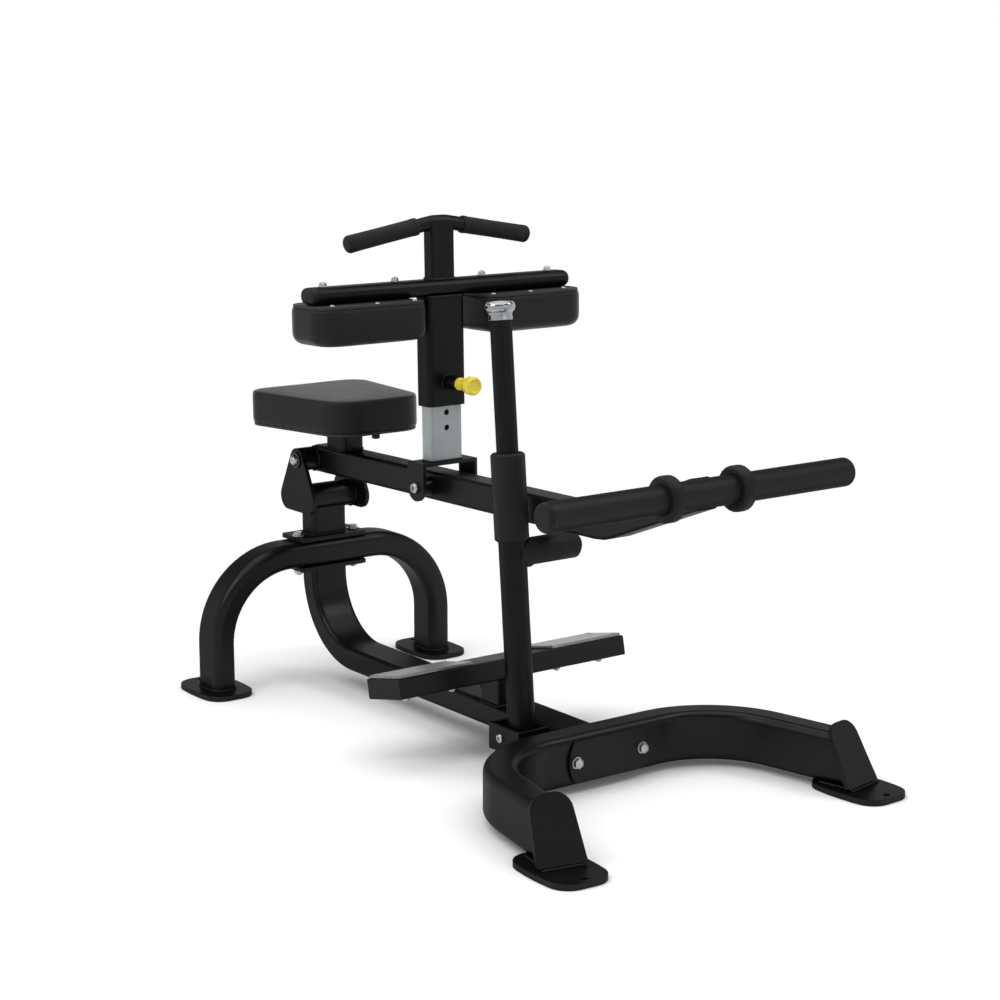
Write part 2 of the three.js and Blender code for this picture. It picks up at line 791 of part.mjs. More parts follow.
// Foot bar, its riser and the two tread plates
function addFootBar() {
  const tilt = foot_bar_tilt * degrees;
  const bar = group(machine, 0, -foot_bar_front_distance, foot_bar_front_low);
  bar.rotation.x = -tilt;
  const box = (width, depth, height, edge) =>
    alongX(extrude(rectangle(height, depth, edge), width)).translate(-width / 2, depth / 2, height / 2);
  const outer = box(foot_bar_length, foot_bar_depth, foot_bar_thickness, foot_bar_edge);
  const inner = box(
    foot_bar_length - 2 * foot_bar_wall,
    foot_bar_depth - 2 * foot_bar_wall,
    foot_bar_thickness - 2 * foot_bar_wall,
    foot_bar_inner_edge,
  ).translate(0, foot_bar_wall, foot_bar_wall);
  const drains = sides.map(([, side]) => {
    const drain = rod(drain_radius, 2 * foot_bar_wall, round_steps / 2);
    const place = side * foot_bar_length * drain_place_share;
    return drain.translate(place, foot_bar_depth / 2, -foot_bar_wall / 2);
  });
  piece("foot_bar", cut(outer, inner, ...drains), black_paint, bar);
  for (const [name, side] of sides) {
    const depth = foot_bar_depth - 2 * tread_margin;
    const shape = rectangle(tread_length, depth, tread_margin);
    const middle = side * (foot_bar_length / 2 - tread_margin - tread_length / 2);
    const tread = extrude(shape, tread_thickness);
    const mesh = piece(`tread_plate_${name}`, tread, tread_metal, bar);
    mesh.position.set(middle, foot_bar_depth / 2, foot_bar_thickness + joint_gap);
  }

  const seat = base_top + joint_gap;
  const height = foot_bar_front_low - seat;
  const riser = extrude(boxTube(riser_width, riser_depth, 2 * tube_wall), height);
  const gusset_height = height * gusset_height_share;
  const gusset = new THREE.Shape([
    new THREE.Vector2(0, height),
    new THREE.Vector2(gusset_run, height),
    new THREE.Vector2(0, height - gusset_height),
  ]);
  const web = facingX(extrude(gusset, gusset_thickness));
  web.translate(-riser_width / 2 + tube_wall, riser_depth / 2 - tube_wall / 2, 0);
  const under = new THREE.BoxGeometry(3 * riser_width, 3 * foot_bar_depth, foot_bar_depth);
  under.translate(0, 0, foot_bar_depth / 2 - joint_gap);
  under.rotateX(-tilt);
  under.translate(0, -riser_set_in - riser_depth / 2, height);
  const mesh = piece("foot_bar_riser", cut(join(riser, web), under), black_paint, machine);
  mesh.position.set(0, -foot_bar_front_distance + riser_set_in + riser_depth / 2, seat);
}

// Channel on the base tube's side, and the catch lever hinged in it
function addCatch() {
  const socket_height = socket_top - socket_low;
  const root = base_width / 2 + joint_gap;
  const socket_width = socket_half_span - root;
  const half = socket_length / 2;
  const shape = new THREE.Shape([
    new THREE.Vector2(-root, -half),
    new THREE.Vector2(-root, socket_wall - half),
    new THREE.Vector2(socket_wall - socket_half_span, socket_wall - half),
    new THREE.Vector2(socket_wall - socket_half_span, half - socket_wall),
    new THREE.Vector2(-root, half - socket_wall),
    new THREE.Vector2(-root, half),
    new THREE.Vector2(-socket_half_span, half),
    new THREE.Vector2(-socket_half_span, -half),
  ]);
  const socket = extrude(shape, socket_height).translate(0, 0, socket_low);
  const bore = acrossX(catch_bolt_radius + joint_gap, socket_half_span + overrun, round_steps / 2);
  bore.translate(0, socket_distance - catch_distance, catch_pivot_height);
  piece("catch_socket", cut(socket, bore), black_paint, machine).position.set(0, -socket_distance, 0);

  const head_low = socket_half_span + joint_gap;
  const profile = [
    [0, 0],
    [catch_head_radius, 0],
    [catch_head_radius, catch_head_height],
    [catch_bolt_radius, catch_head_height],
    [catch_bolt_radius, catch_head_height + joint_gap + socket_width],
    [0, catch_head_height + joint_gap + socket_width],
  ];
  const pin = alongX(turned(profile, round_steps / 2)).translate(-head_low - catch_head_height, 0, 0);
  piece("catch_bolt", pin, zinc, machine).position.set(0, -catch_distance, catch_pivot_height);

  const hinge = group(machine, -catch_half_offset, -catch_distance, catch_pivot_height);
  hinge.rotation.x = -catch_lean * degrees;
  const lever = group(hinge, 0, -catch_bolt_set_back, 0);

  // Heights along the tube, upward from the peg, which stands clear of the lever's underside
  const lever_low = pivot_height + catch_distance * Math.sin(lever_lift * degrees) - lever_height / 2;
  const peg_level = lever_low - peg_clearance - peg_radius;
  const peg_height = (peg_level - catch_pivot_height) / Math.cos(catch_lean * degrees);
  const catch_sleeve_low = peg_height + sleeve_above_peg;
  const tube_top = catch_sleeve_low + catch_tube_in_sleeve;
  const sleeve_top = catch_sleeve_low + catch_sleeve_length;
  const catch_handle_top = sleeve_top + catch_handle_reach;

  const tube_ring = disc(catch_tube_radius, catch_tube_radius - tube_wall);
  const tube = extrude(tube_ring, tube_top + catch_tube_foot, arc_steps);
  tube.translate(0, 0, -catch_tube_foot);
  const cross_bore = acrossX(catch_bolt_radius + turn_gap, 2 * catch_tube_radius, round_steps / 2);
  cross_bore.translate(0, catch_bolt_set_back, 0);
  piece("catch_tube", cut(tube, cross_bore), black_paint, lever);

  const sleeve_bore = catch_tube_radius + joint_gap;
  const neck = catch_handle_radius + joint_gap;
  const sleeve = turned([
    [sleeve_bore, catch_sleeve_low],
    [catch_sleeve_radius - catch_sleeve_chamfer, catch_sleeve_low],
    [catch_sleeve_radius, catch_sleeve_low + catch_sleeve_chamfer],
    [catch_sleeve_radius, sleeve_top - catch_sleeve_chamfer],
    [catch_sleeve_radius - catch_sleeve_chamfer, sleeve_top],
    [neck, sleeve_top],
    [neck, tube_top + joint_gap],
    [sleeve_bore, tube_top + joint_gap],
    [sleeve_bore, catch_sleeve_low],
  ]);
  const peg_notch = alongX(rod(peg_rib_radius + joint_gap, peg_end_reach)).translate(0, 0, peg_height);
  piece("catch_sleeve", cut(sleeve, peg_notch), rubber, lever);

  const handle_low = tube_top - catch_handle_overlap;
  const handle_ring = disc(catch_handle_radius, catch_handle_radius - tube_wall);
  const handle = extrude(handle_ring, catch_handle_top - handle_low, arc_steps);
  piece("catch_handle", handle.translate(0, 0, handle_low), black_paint, lever);

  // Shares of the neck's radius and of the cap's height, from the foot up
  const cap_shares = [[0, 0], [1, 0], [1, 0.4], [1.24, 0.7], [1.28, 0.85], [1.2, 0.96], [1.05, 1], [0, 1]];
  const cap = turned(cap_shares.map(([r, z]) => [r * catch_cap_neck_radius, z * catch_cap_height]));
  piece("catch_cap", cap.translate(0, 0, catch_handle_top + joint_gap), chrome, lever);

  const rib_end = catch_tube_radius + joint_gap + peg_rib_width;
  const peg_profile = [
    [0, 0],
    [peg_rib_radius, 0],
    [peg_rib_radius, rib_end],
    [peg_radius, rib_end],
    [peg_radius, peg_end_reach - peg_dome],
    [peg_radius - peg_dome, peg_end_reach],
    [0, peg_end_reach],
  ];
  const tube_cut = rod(catch_tube_radius + joint_gap, 4 * peg_rib_radius).translate(0, 0, -2 * peg_rib_radius);
  const peg = cut(alongX(turned(peg_profile)), tube_cut);
  piece("catch_peg", peg, rubber, lever).position.set(0, 0, peg_height);
}

addRearArch();
addBaseTube();
addPivotStand();
addFlangeBolts();
addFrontFrame();
addClampPlate();
addFootBar();
addCatch();

// Lever and all that rides on it
const lever = group(machine, 0, 0, pivot_height);
lever.rotation.x = -lever_lift * degrees;

function addLever() {
  const hub_half = bracket_outer_half_span - bracket_thickness - slide_gap;
  const hub_shape = disc(hub_radius, hub_bore_radius);
  const hub = alongX(extrude(hub_shape, 2 * hub_half, arc_steps)).translate(-hub_half, 0, 0);
  piece("pivot_hub", hub, black_paint, lever);
  const bush_shape = disc(hub_bore_radius - joint_gap, pivot_bolt_radius + turn_gap);
  const bush = alongX(extrude(bush_shape, 2 * hub_half, small_arc_steps)).translate(-hub_half, 0, 0);
  piece("pivot_bush", bush, nylon, lever);

  const corners = [
    new THREE.Vector3(0, 0, 0),
    new THREE.Vector3(0, -lever_bend_distance, 0),
    new THREE.Vector3(0, -horn_distance, horn_rise),
  ];
  const path = new BentPath(corners, new THREE.Vector3(1, 0, 0), [lever_bend_radius]);
  const arm = bend(boxTube(lever_width, lever_height, lever_corner), path);
  const hub_cope = acrossX(hub_radius + joint_gap, lever_width);
  const horn_cope = acrossX(horn_radius + joint_gap, lever_width).translate(0, -horn_distance, horn_rise);
  const behind = new THREE.BoxGeometry(2 * lever_width, 2 * lever_height, 2 * lever_height);
  behind.translate(0, lever_height, 0);
  const boss_half = saddle_outer_half_span - saddle_thickness - slide_gap;
  const boss = acrossX(boss_radius, boss_half).translate(0, -saddle_distance, 0);
  const boss_bore = acrossX(saddle_bolt_radius + turn_gap, boss_half + overrun, round_steps / 2);
  boss_bore.translate(0, -saddle_distance, 0);
  piece("lever_arm", cut(join(arm, boss), boss_bore, hub_cope, horn_cope, behind), black_paint, lever);

  const bar_half = horn_bar_half_length;
  const bar = alongX(extrude(disc(horn_radius, horn_radius - tube_wall), 2 * bar_half, arc_steps));
  const bar_mesh = piece("horn_bar", bar.translate(-bar_half, 0, 0), black_paint, lever);
  bar_mesh.position.set(0, -horn_distance, horn_rise);
  for (const [name, side] of sides) {
    const inner = collar_offset - collar_width / 2;
    const outer = collar_offset + collar_width / 2;
    const bore = horn_radius + joint_gap;
    const collar = alongX(turned([
      [bore, inner],
      [collar_radius - collar_edge, inner],
      [collar_radius, inner + collar_edge],
      [collar_radius, outer - collar_edge],
      [collar_radius - collar_edge, outer],
      [bore, outer],
      [bore, inner],
    ]));
    const plug = horn_radius - tube_wall - joint_gap;
    const cap = alongX(turned([
      [0, bar_half - horn_cap_plug],
      [plug, bar_half - horn_cap_plug],
      [plug, bar_half + joint_gap],
      [horn_radius, bar_half + joint_gap],
      [horn_radius - horn_cap_shoulder, bar_half + horn_cap_shoulder_height],
      [horn_radius - horn_cap_dome, bar_half + horn_cap_dome],
      [0, bar_half + horn_cap_dome],
    ]));
    for (const [kind, geometry, material] of [["collar", collar, rubber], ["end_cap", cap, rubber]]) {
      const mesh = piece(`horn_${kind}_${name}`, geometry, material, lever);
      mesh.position.set(0, -horn_distance, horn_rise);
      if (side < 0) mesh.rotation.z = Math.PI;
    }
  }
}

function addSeat() {
  const seat = group(lever, 0, 0, lever_height / 2 + joint_gap);
  const shape = boxTube(seat_post_width, seat_post_depth, seat_post_corner);
  const post = extrude(shape, seat_post_height);
  piece("seat_post", post, black_paint, seat).position.set(0, -seat_post_distance, 0);

  const outline = (margin) =>
    around([
      [seat_rear_half_width - seat_rear_corner, seat_rear - seat_rear_corner, seat_rear_corner - margin],
      [seat_rear_corner - seat_rear_half_width, seat_rear - seat_rear_corner, seat_rear_corner - margin],
      [seat_front_corner - seat_front_half_width, seat_front_corner - seat_front, seat_front_corner - margin],
      [seat_front_half_width - seat_front_corner, seat_front_corner - seat_front, seat_front_corner - margin],
    ]);
  const board_plate = extrude(outline(seat_board_margin), seat_board_thickness);
  const board_low = seat_post_height + joint_gap;
  piece("seat_board", board_plate, board, seat).position.set(0, 0, board_low);
  const padding = cushion(outline(0), seat_thickness, seat_crown, seat_side_draw, seat_low_edge, seat_top_edge);
  piece("seat_cushion", padding, vinyl, seat).position.set(0, 0, board_low + seat_board_thickness + joint_gap);
}

addLever();
addSeat();

// Saddle, rocking on the lever's boss, with the inner post on it
const rocker = group(lever, 0, -saddle_distance, 0);

const deck_low = lever_height / 2 + saddle_clearance;
const post_seat = deck_low + saddle_thickness + joint_gap;

function addSaddle() {
  const outer = saddle_outer_half_span;
  const ear = around([
    [0, 0, saddle_low_radius],
    [saddle_depth / 2 - saddle_corner, deck_low, saddle_corner],
    [saddle_corner - saddle_depth / 2, deck_low, saddle_corner],
  ]);
  const wall = facingX(extrude(ear, saddle_thickness, fine_corner_steps));
  const near = wall.clone().translate(-outer, 0, 0);
  const far = wall.clone().translate(outer - saddle_thickness, 0, 0);
  const deck = new THREE.BoxGeometry(2 * outer, saddle_depth, saddle_thickness);
  deck.translate(0, 0, deck_low + saddle_thickness / 2);
  const bore = acrossX(saddle_bolt_radius + joint_gap, outer + overrun, round_steps / 2);
  piece("saddle", cut(join(deck, near, far), bore), black_paint, rocker);

  const reach = outer + joint_gap;
  const bolt_sizes = [saddle_bolt_radius, saddle_head_radius, saddle_head_height];
  piece("saddle_bolt", twoHeadedBolt(reach, ...bolt_sizes, round_steps / 2), zinc, rocker);

  const post = extrude(boxTube(inner_post_width, inner_post_depth, inner_post_corner), inner_post_length);
  const holes = [];
  for (let k = 0; k < post_hole_count; k += 1) {
    const hole = alongMinusY(rod(post_hole_radius, inner_post_depth, round_steps / 2));
    holes.push(hole.translate(0, 0, post_hole_first + k * post_hole_pitch));
  }
  piece("inner_post", cut(post, ...holes), plated_steel, rocker).position.set(0, 0, post_seat);
}

// Knee carriage, sliding on the inner post
const carriage = group(rocker, 0, 0, 0);

function addCarriage() {
  const liner_outer_width = inner_post_width + 2 * (slide_gap + liner_wall);
  const liner_outer_depth = inner_post_depth + 2 * (slide_gap + liner_wall);
  const liner_corner = inner_post_corner + slide_gap + liner_wall;
  const bore_shape = (grow) =>
    rectangle(liner_outer_width + 2 * grow, liner_outer_depth + 2 * grow, liner_corner + grow, THREE.Path);
  const sleeve_low = post_seat + sleeve_rise;
  const sleeve_shape = rectangle(sleeve_width, sleeve_depth, sleeve_corner);
  sleeve_shape.holes.push(bore_shape(joint_gap));
  const sleeve = extrude(sleeve_shape, sleeve_length).translate(0, 0, sleeve_low);
  const pin_level = post_seat + post_hole_first + pin_hole_number * post_hole_pitch;
  const pin_bore = alongMinusY(rod(housing_bore_radius, sleeve_depth, round_steps / 2));
  pin_bore.translate(0, 0, pin_level);
  piece("sleeve", cut(sleeve, pin_bore), black_paint, carriage);

  const liner_shape = rectangle(liner_outer_width, liner_outer_depth, liner_corner);
  liner_shape.holes.push(bore_shape(-liner_wall));
  const liner = extrude(liner_shape, sleeve_length - beam_height).translate(0, 0, sleeve_low + liner_lip);
  piece("sleeve_liner", cut(liner, pin_bore), nylon, carriage);

  const beam_low = sleeve_low + sleeve_length + joint_gap;
  const beam_middle = beam_low + beam_height / 2;
  const flat = beam_width / 2 - beam_height / 2;
  const oval = (shrink, Path) =>
    around([[0, flat, beam_height / 2 - shrink], [0, -flat, beam_height / 2 - shrink]], Path);
  const beam_shape = oval(0, THREE.Shape);
  beam_shape.holes.push(oval(tube_wall, THREE.Path));
  const beam = alongX(extrude(beam_shape, 2 * beam_half_length, 2 * corner_steps));
  beam.translate(-beam_half_length, 0, 0);
  piece("knee_beam", beam, black_paint, carriage).position.set(0, 0, beam_middle);
  for (const [name, side] of sides) {
    const plug = extrude(oval(tube_wall + joint_gap, THREE.Shape), beam_cap_plug, 2 * corner_steps);
    const lid_ring = (shrink, z) =>
      oval(shrink, THREE.Shape)
        .getPoints(2 * corner_steps)
        .slice(0, -1)
        .map((p) => new THREE.Vector3(p.x, p.y, z));
    const lid_shares = [[0, 0], [0.05, 0.45], [0.25, 0.8], [0.6, 1]];
    const dome = beam_cap_dome;
    const lid = loft(lid_shares.map(([shrink, z]) => lid_ring(shrink * dome, z * dome)));
    lid.translate(0, 0, beam_cap_plug);
    const cap = alongX(join(plug, lid));
    const mesh = piece(`beam_end_cap_${name}`, cap, rubber, carriage);
    const start = beam_half_length + joint_gap - beam_cap_plug;
    mesh.position.set(side * start, 0, beam_middle);
    if (side < 0) mesh.rotation.z = Math.PI;
  }

  addPads(beam_low - joint_gap);
  addHandle(beam_low + beam_height + joint_gap);
  addPullPin(pin_level);
}

// Two knee pads on boards under the beam
function addPads(board_top) {
  for (const [name, side] of sides) {
    const half_depth = pad_depth / 2;
    const outline = (margin) => {
      const inner = pad_inner + pad_inner_corner;
      const outer = pad_outer - pad_outer_corner;
      const circles = [
        [outer, half_depth - pad_outer_corner, pad_outer_corner - margin],
        [inner, half_depth - pad_inner_corner, pad_inner_corner - margin],
        [inner, pad_inner_corner - half_depth, pad_inner_corner - margin],
        [outer, pad_outer_corner - half_depth, pad_outer_corner - margin],
      ];
      return around(circles);
    };
    const top = board_top - joint_gap;
    const plate = extrude(outline(pad_board_margin), pad_board_thickness);
    const plate_mesh = piece(`pad_board_${name}`, plate, board, carriage);
    plate_mesh.position.set(0, 0, top - pad_board_thickness);
    const padding = cushion(outline(0), pad_thickness, pad_crown, pad_side_draw, pad_top_edge, pad_low_edge);
    const pad_mesh = piece(`knee_pad_${name}`, padding.rotateX(Math.PI), vinyl, carriage);
    pad_mesh.position.set(0, 0, top - pad_board_thickness - joint_gap);
    if (side < 0) {
      plate_mesh.rotation.z = Math.PI;
      pad_mesh.rotation.z = Math.PI;
    }
  }
}

// Upper post, bent handle bar and two grips
function addHandle(post_low) {
  const handle_height = post_low + upper_post_length;
  const low = handle_height - handle_drop;
  const corners = [
    new THREE.Vector3(-handle_half_span, 0, low),
    new THREE.Vector3(-handle_flat_half, 0, handle_height),
    new THREE.Vector3(handle_flat_half, 0, handle_height),
    new THREE.Vector3(handle_half_span, 0, low),
  ];
  const path = new BentPath(corners, new THREE.Vector3(0, -1, 0), [handle_bend_radius, handle_bend_radius]);
  const bar = bend(disc(handle_radius), path, small_arc_steps);
  piece("handle_bar", bar, black_paint, carriage);

  const post_shape = boxTube(upper_post_width, upper_post_depth, upper_post_corner);
  const post = extrude(post_shape, upper_post_length).translate(0, 0, post_low);
  const cope = bend(disc(handle_radius + joint_gap), path, small_arc_steps);
  piece("upper_post", cut(post, cope), black_paint, carriage);

  const slope = Math.atan2(handle_drop, handle_half_span - handle_flat_half);
  for (const [name, side] of sides) {
    const bore = handle_radius + joint_gap;
    const end = grip_end_wall + joint_gap;
    const grip = alongX(turned([
      [bore, -grip_length + end],
      [grip_radius, -grip_length + end],
      [grip_radius, end - grip_dome],
      [grip_radius - grip_dome, end],
      [0, end],
      [0, joint_gap],
      [bore, joint_gap],
      [bore, -grip_length + end],
    ], grip_steps));
    const holder = group(carriage, side * handle_half_span, 0, low);
    if (side < 0) holder.rotation.z = Math.PI;
    const tilted = group(holder, 0, 0, 0);
    tilted.rotation.y = slope;
    piece(`grip_${name}`, grip, rubber, tilted);
  }
}

// Spring-loaded pull pin: housing, pin with its knob, and the spring
function addPullPin(level) {
  const face = -sleeve_depth / 2 - joint_gap;
  const holder = group(carriage, 0, face, level);
  const housing_ring = disc(housing_radius, housing_bore_radius);
  const housing = alongMinusY(extrude(housing_ring, housing_length, small_arc_steps));
  piece("pin_housing", housing, black_paint, holder);

  const tip = -(face + inner_post_depth / 2 + slide_gap);
  const knob_low = housing_length + joint_gap;
  const flare_low = knob_low + knob_neck_length;
  const head_low = flare_low + knob_flare_length;
  const knob_top = head_low + knob_head_length;
  const profile = [
    [0, -tip],
    [pin_radius, -tip],
    [pin_radius, knob_low],
    [knob_neck_radius, knob_low],
    [knob_neck_radius, flare_low],
    [knob_head_radius, head_low],
    [knob_head_radius, knob_top - knob_edge],
    [knob_head_radius - knob_edge, knob_top],
    [0, knob_top],
  ];
  const pull = group(holder, 0, 0, 0);
  piece("pull_pin", alongMinusY(turned(profile, grip_steps)), yellow_plastic, pull);

  const coil = alongMinusY(extrude(disc(spring_radius, spring_bore_radius), spring_length, small_arc_steps));
  piece("pin_spring", coil.translate(0, -(housing_length - spring_length) / 2, 0), spring_steel, holder);
}

addSaddle();
addCarriage();

// The origin is the middle of the machine's footprint on the floor
const box = new THREE.Box3().setFromObject(machine, true);
machine.position.set(-(box.min.x + box.max.x) / 2, -(box.min.y + box.max.y) / 2, 0);

export default machine;
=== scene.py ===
"""Seated calf raise machine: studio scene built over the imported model.

Everything is in metres in the model's own frame: +Z up, the user sits facing -Y, +X is the user's left.
"""
import json
import math

import bmesh
import bpy
from mathutils import Matrix, Vector


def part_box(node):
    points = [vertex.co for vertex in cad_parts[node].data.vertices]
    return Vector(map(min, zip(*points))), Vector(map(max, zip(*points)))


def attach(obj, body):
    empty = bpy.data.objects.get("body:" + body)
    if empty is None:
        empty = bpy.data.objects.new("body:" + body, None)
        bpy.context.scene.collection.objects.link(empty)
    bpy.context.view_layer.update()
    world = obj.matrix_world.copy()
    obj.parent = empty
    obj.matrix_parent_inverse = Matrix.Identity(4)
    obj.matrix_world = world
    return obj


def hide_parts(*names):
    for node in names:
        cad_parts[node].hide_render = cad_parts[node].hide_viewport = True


bl_info = {
    "name": "Calf raise machine",
    "version": (1, 0, 0),
    "blender": (4, 5, 0),
    "location": "View3D > Sidebar > Calf raise",
    "description": "Builds the seated calf raise machine, its finishes and a white studio",
    "category": "Object",
}

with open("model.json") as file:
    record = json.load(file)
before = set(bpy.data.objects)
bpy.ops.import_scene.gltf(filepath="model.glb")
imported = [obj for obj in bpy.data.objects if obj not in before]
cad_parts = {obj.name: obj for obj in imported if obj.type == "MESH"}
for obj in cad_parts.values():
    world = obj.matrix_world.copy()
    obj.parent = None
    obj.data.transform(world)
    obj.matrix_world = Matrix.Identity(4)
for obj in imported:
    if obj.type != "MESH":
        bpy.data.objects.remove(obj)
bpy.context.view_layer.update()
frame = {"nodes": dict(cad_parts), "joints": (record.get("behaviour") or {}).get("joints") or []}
NODES = frame["nodes"]
JOINTS = {joint["name"]: joint for joint in frame["joints"]}
MM = 0.001
SIDES = (("left", 1), ("right", -1))


def shift(x, y, z):
    return Matrix.Translation((x, y, z))


def moved(x, y, z):
    """A shift in mm."""
    return shift(x * MM, y * MM, z * MM)


def spin(turn, axis):
    return Matrix.Rotation(turn, 4, axis)


# Other places of the model that the settings don't change, in mm and degrees
FOOT_BAR_REACH, FOOT_BAR_LEVEL, FOOT_BAR_TILT = 632, 132, 12.2
CATCH_LEAN, CATCH_OFFSET = 5, 12

# Places of the moving parts, from the model's own joints
PIVOT = Vector(JOINTS["lever_pivot"]["pos_m"])
SADDLE = Vector(JOINTS["saddle_tilt"]["pos_m"])
HINGE = Vector(JOINTS["catch_swing"]["pos_m"])
LEVER_LIFT = math.atan2(SADDLE.z - PIVOT.z, PIVOT.y - SADDLE.y)
LEVER = shift(*PIVOT) @ spin(-LEVER_LIFT, "X")
ROCKER = shift(*SADDLE) @ spin(-LEVER_LIFT, "X")
CATCH = shift(*HINGE) @ spin(-math.radians(CATCH_LEAN), "X") @ moved(0, -CATCH_OFFSET, 0)
MACHINE = shift(0, PIVOT.y, 0)
FOOT_BAR = MACHINE @ moved(0, -FOOT_BAR_REACH, FOOT_BAR_LEVEL) @ spin(-math.radians(FOOT_BAR_TILT), "X")
UPSIDE_DOWN = spin(math.pi, "X")
BACKWARD = spin(-math.pi / 2, "X")

# Levels of pieces that stand on each other, in mm above the saddle bolt
GAP = 0.3
DECK_TOP = 46.55
FIRST_HOLE, HOLE_PITCH = 60, 28
PIN_LEVEL = DECK_TOP + FIRST_HOLE + 3 * HOLE_PITCH
SLEEVE_CLEAR, SLEEVE_HEIGHT, SLEEVE_DEPTH = 100.45, 198, 45
SLEEVE_TOP = DECK_TOP + SLEEVE_CLEAR + SLEEVE_HEIGHT
PAD_BOARD_TOP = SLEEVE_TOP - GAP
BEAM_HEIGHT, UPPER_POST = 30, 100.4
BEAM_TOP = SLEEVE_TOP + GAP + BEAM_HEIGHT
HANDLE_HALF, HANDLE_DROP, HANDLE_STRAIGHT = 190, 30, 14
HANDLE_END = BEAM_TOP + GAP + UPPER_POST - HANDLE_DROP

# Sizes and levels of other pieces, in mm
LEVER_HEIGHT, SEAT_POST = 52.5, 43
SEAT_BOARD_LOW = LEVER_HEIGHT / 2 + GAP + SEAT_POST + GAP
TREAD_TOP = 41.3
CLAMP_PLATE = 5
BRACKET_FACE = 65.3
EAR_FACE = 60.3
LEVER_SIDE = 26.2

WHITE = (1, 1, 1, 1)
SHARP = math.radians(32)


def length(name, description, default):
    return bpy.props.FloatProperty(
        name=name, description=description, default=default * MM, precision=5, unit="LENGTH",
        subtype="DISTANCE",
    )


def share(name, description, default):
    return bpy.props.FloatProperty(name=name, description=description, default=default, min=0, max=1)


def angle(name, description, default):
    return bpy.props.FloatProperty(
        name=name, description=description, default=math.radians(default), unit="ROTATION", subtype="ANGLE"
    )


def number(name, description, default):
    return bpy.props.FloatProperty(name=name, description=description, default=default)


def colour(name, description, default):
    return bpy.props.FloatVectorProperty(
        name=name, description=description, default=(*default, 1), size=4, min=0, max=1, subtype="COLOR"
    )


class FrameSizes(bpy.types.PropertyGroup):
    """Sizes of the bent tubes and of what is welded to them"""

    arch_half_span: length("Arch half span", "Middle of the machine to the middle of a rear leg", 251.8)
    arch_depth: length("Arch depth", "Rear tube, front to back", 75)
    arch_thickness: length("Arch thickness", "Rear tube, across its legs", 50)
    arch_corner: length("Arch corner", "Corner radius of the rear tube", 18)
    arch_top: length("Arch top", "Height of the rear crossbar's top", 276)
    arch_bend: length("Arch bend", "Bend radius of the rear tube", 155)
    base_width: length("Base width", "Width of the base tube", 81)
    base_thickness: length("Base thickness", "Thickness of the base tube", 45)
    base_corner: length("Base corner", "Corner radius of the base tube", 11)
    base_bend: length("Base bend", "Bend radius of the base tube", 148)
    base_clear: length("Base clearance", "Floor to the underside of the base tube", 37)
    base_set_back: length("Base set back", "Base tube behind the arch's middle", 6)
    front_distance: length("Front distance", "Arch to the middle of the front crossbar", 858)
    front_depth: length("Front depth", "Front tube, thin way", 58)
    front_height: length("Front height", "Front tube, tall way", 88)
    front_corner: length("Front corner", "Corner radius of the front tube", 14)
    front_straight: length("Front straight half", "Half the straight run of the front crossbar", 121)
    front_bend: length("Front bend", "Bend radius of the front tube", 165)
    front_splay: angle("Front splay", "Angle of the front legs outward", 11.5)
    front_slant: angle("Front slant", "Slope of the cut at the front legs' ends", 27)
    front_reach: length("Front reach", "Arch to the low edge of the front legs", 1166)
    floor_plate: length("Floor plate", "Thickness of the floor plates", 10)
    flange_length: length("Flange length", "Length of the bolted flanges", 152)
    flange_depth: length("Flange depth", "Depth of the bolted flanges", 78)
    flange_thickness: length("Flange thickness", "Thickness of the bolted flanges", 8)
    end_plate_height: length("End plate height", "Height of the plate behind the front crossbar", 72)
    front_bolt: length("Front bolt offset", "Middle to a bolt of the front crossbar", 71)
    flange_bolt: length("Flange bolt offset", "Middle to a bolt of the rear flanges", 63)
    weld: length("Weld size", "Radius of the weld beads", 2.6)


class CushionSizes(bpy.types.PropertyGroup):
    """Sizes of the padded pieces"""

    seat_front: length("Seat front", "Pivot to the seat's front edge", 215)
    seat_rear: length("Seat rear", "Pivot back to the seat's rear edge", 79)
    seat_front_half: length("Seat front half width", "Half width at the front", 105)
    seat_rear_half: length("Seat rear half width", "Half width at the rear", 132)
    seat_front_corner: length("Seat front corner", "Corner radius at the seat's front", 60)
    seat_rear_corner: length("Seat rear corner", "Corner radius at the seat's rear", 42)
    seat_thickness: length("Seat thickness", "Thickness of the seat cushion", 65)
    pad_inner: length("Pad inner end", "Middle of the machine to a knee pad", 66)
    pad_outer: length("Pad outer end", "Middle of the machine to a knee pad's far end", 291)
    pad_depth: length("Pad depth", "Knee pad, front to back", 134)
    pad_inner_corner: length("Pad inner corner", "Corner radius near the sleeve", 22)
    pad_outer_corner: length("Pad outer corner", "Corner radius at the far end", 44)
    pad_thickness: length("Pad thickness", "Thickness of a knee pad", 67.5)
    board: length("Board", "Thickness of the plywood boards", 5)
    board_margin: length("Board margin", "How far the boards stay inside the covers", 4)
    shrink: length("Cover slack", "How much smaller the filling starts", 1.5)
    voxel: length("Voxel", "Mesh size for the padding's simulation", 3.5)
    pressure: number("Filling pressure", "Pressure that swells the padding", 4)
    travel: length("Most swelling", "Furthest that a point of the cover moves", 3)
    swelling: share("Swelling kept", "Share of the simulated swelling that stays", 0.5)


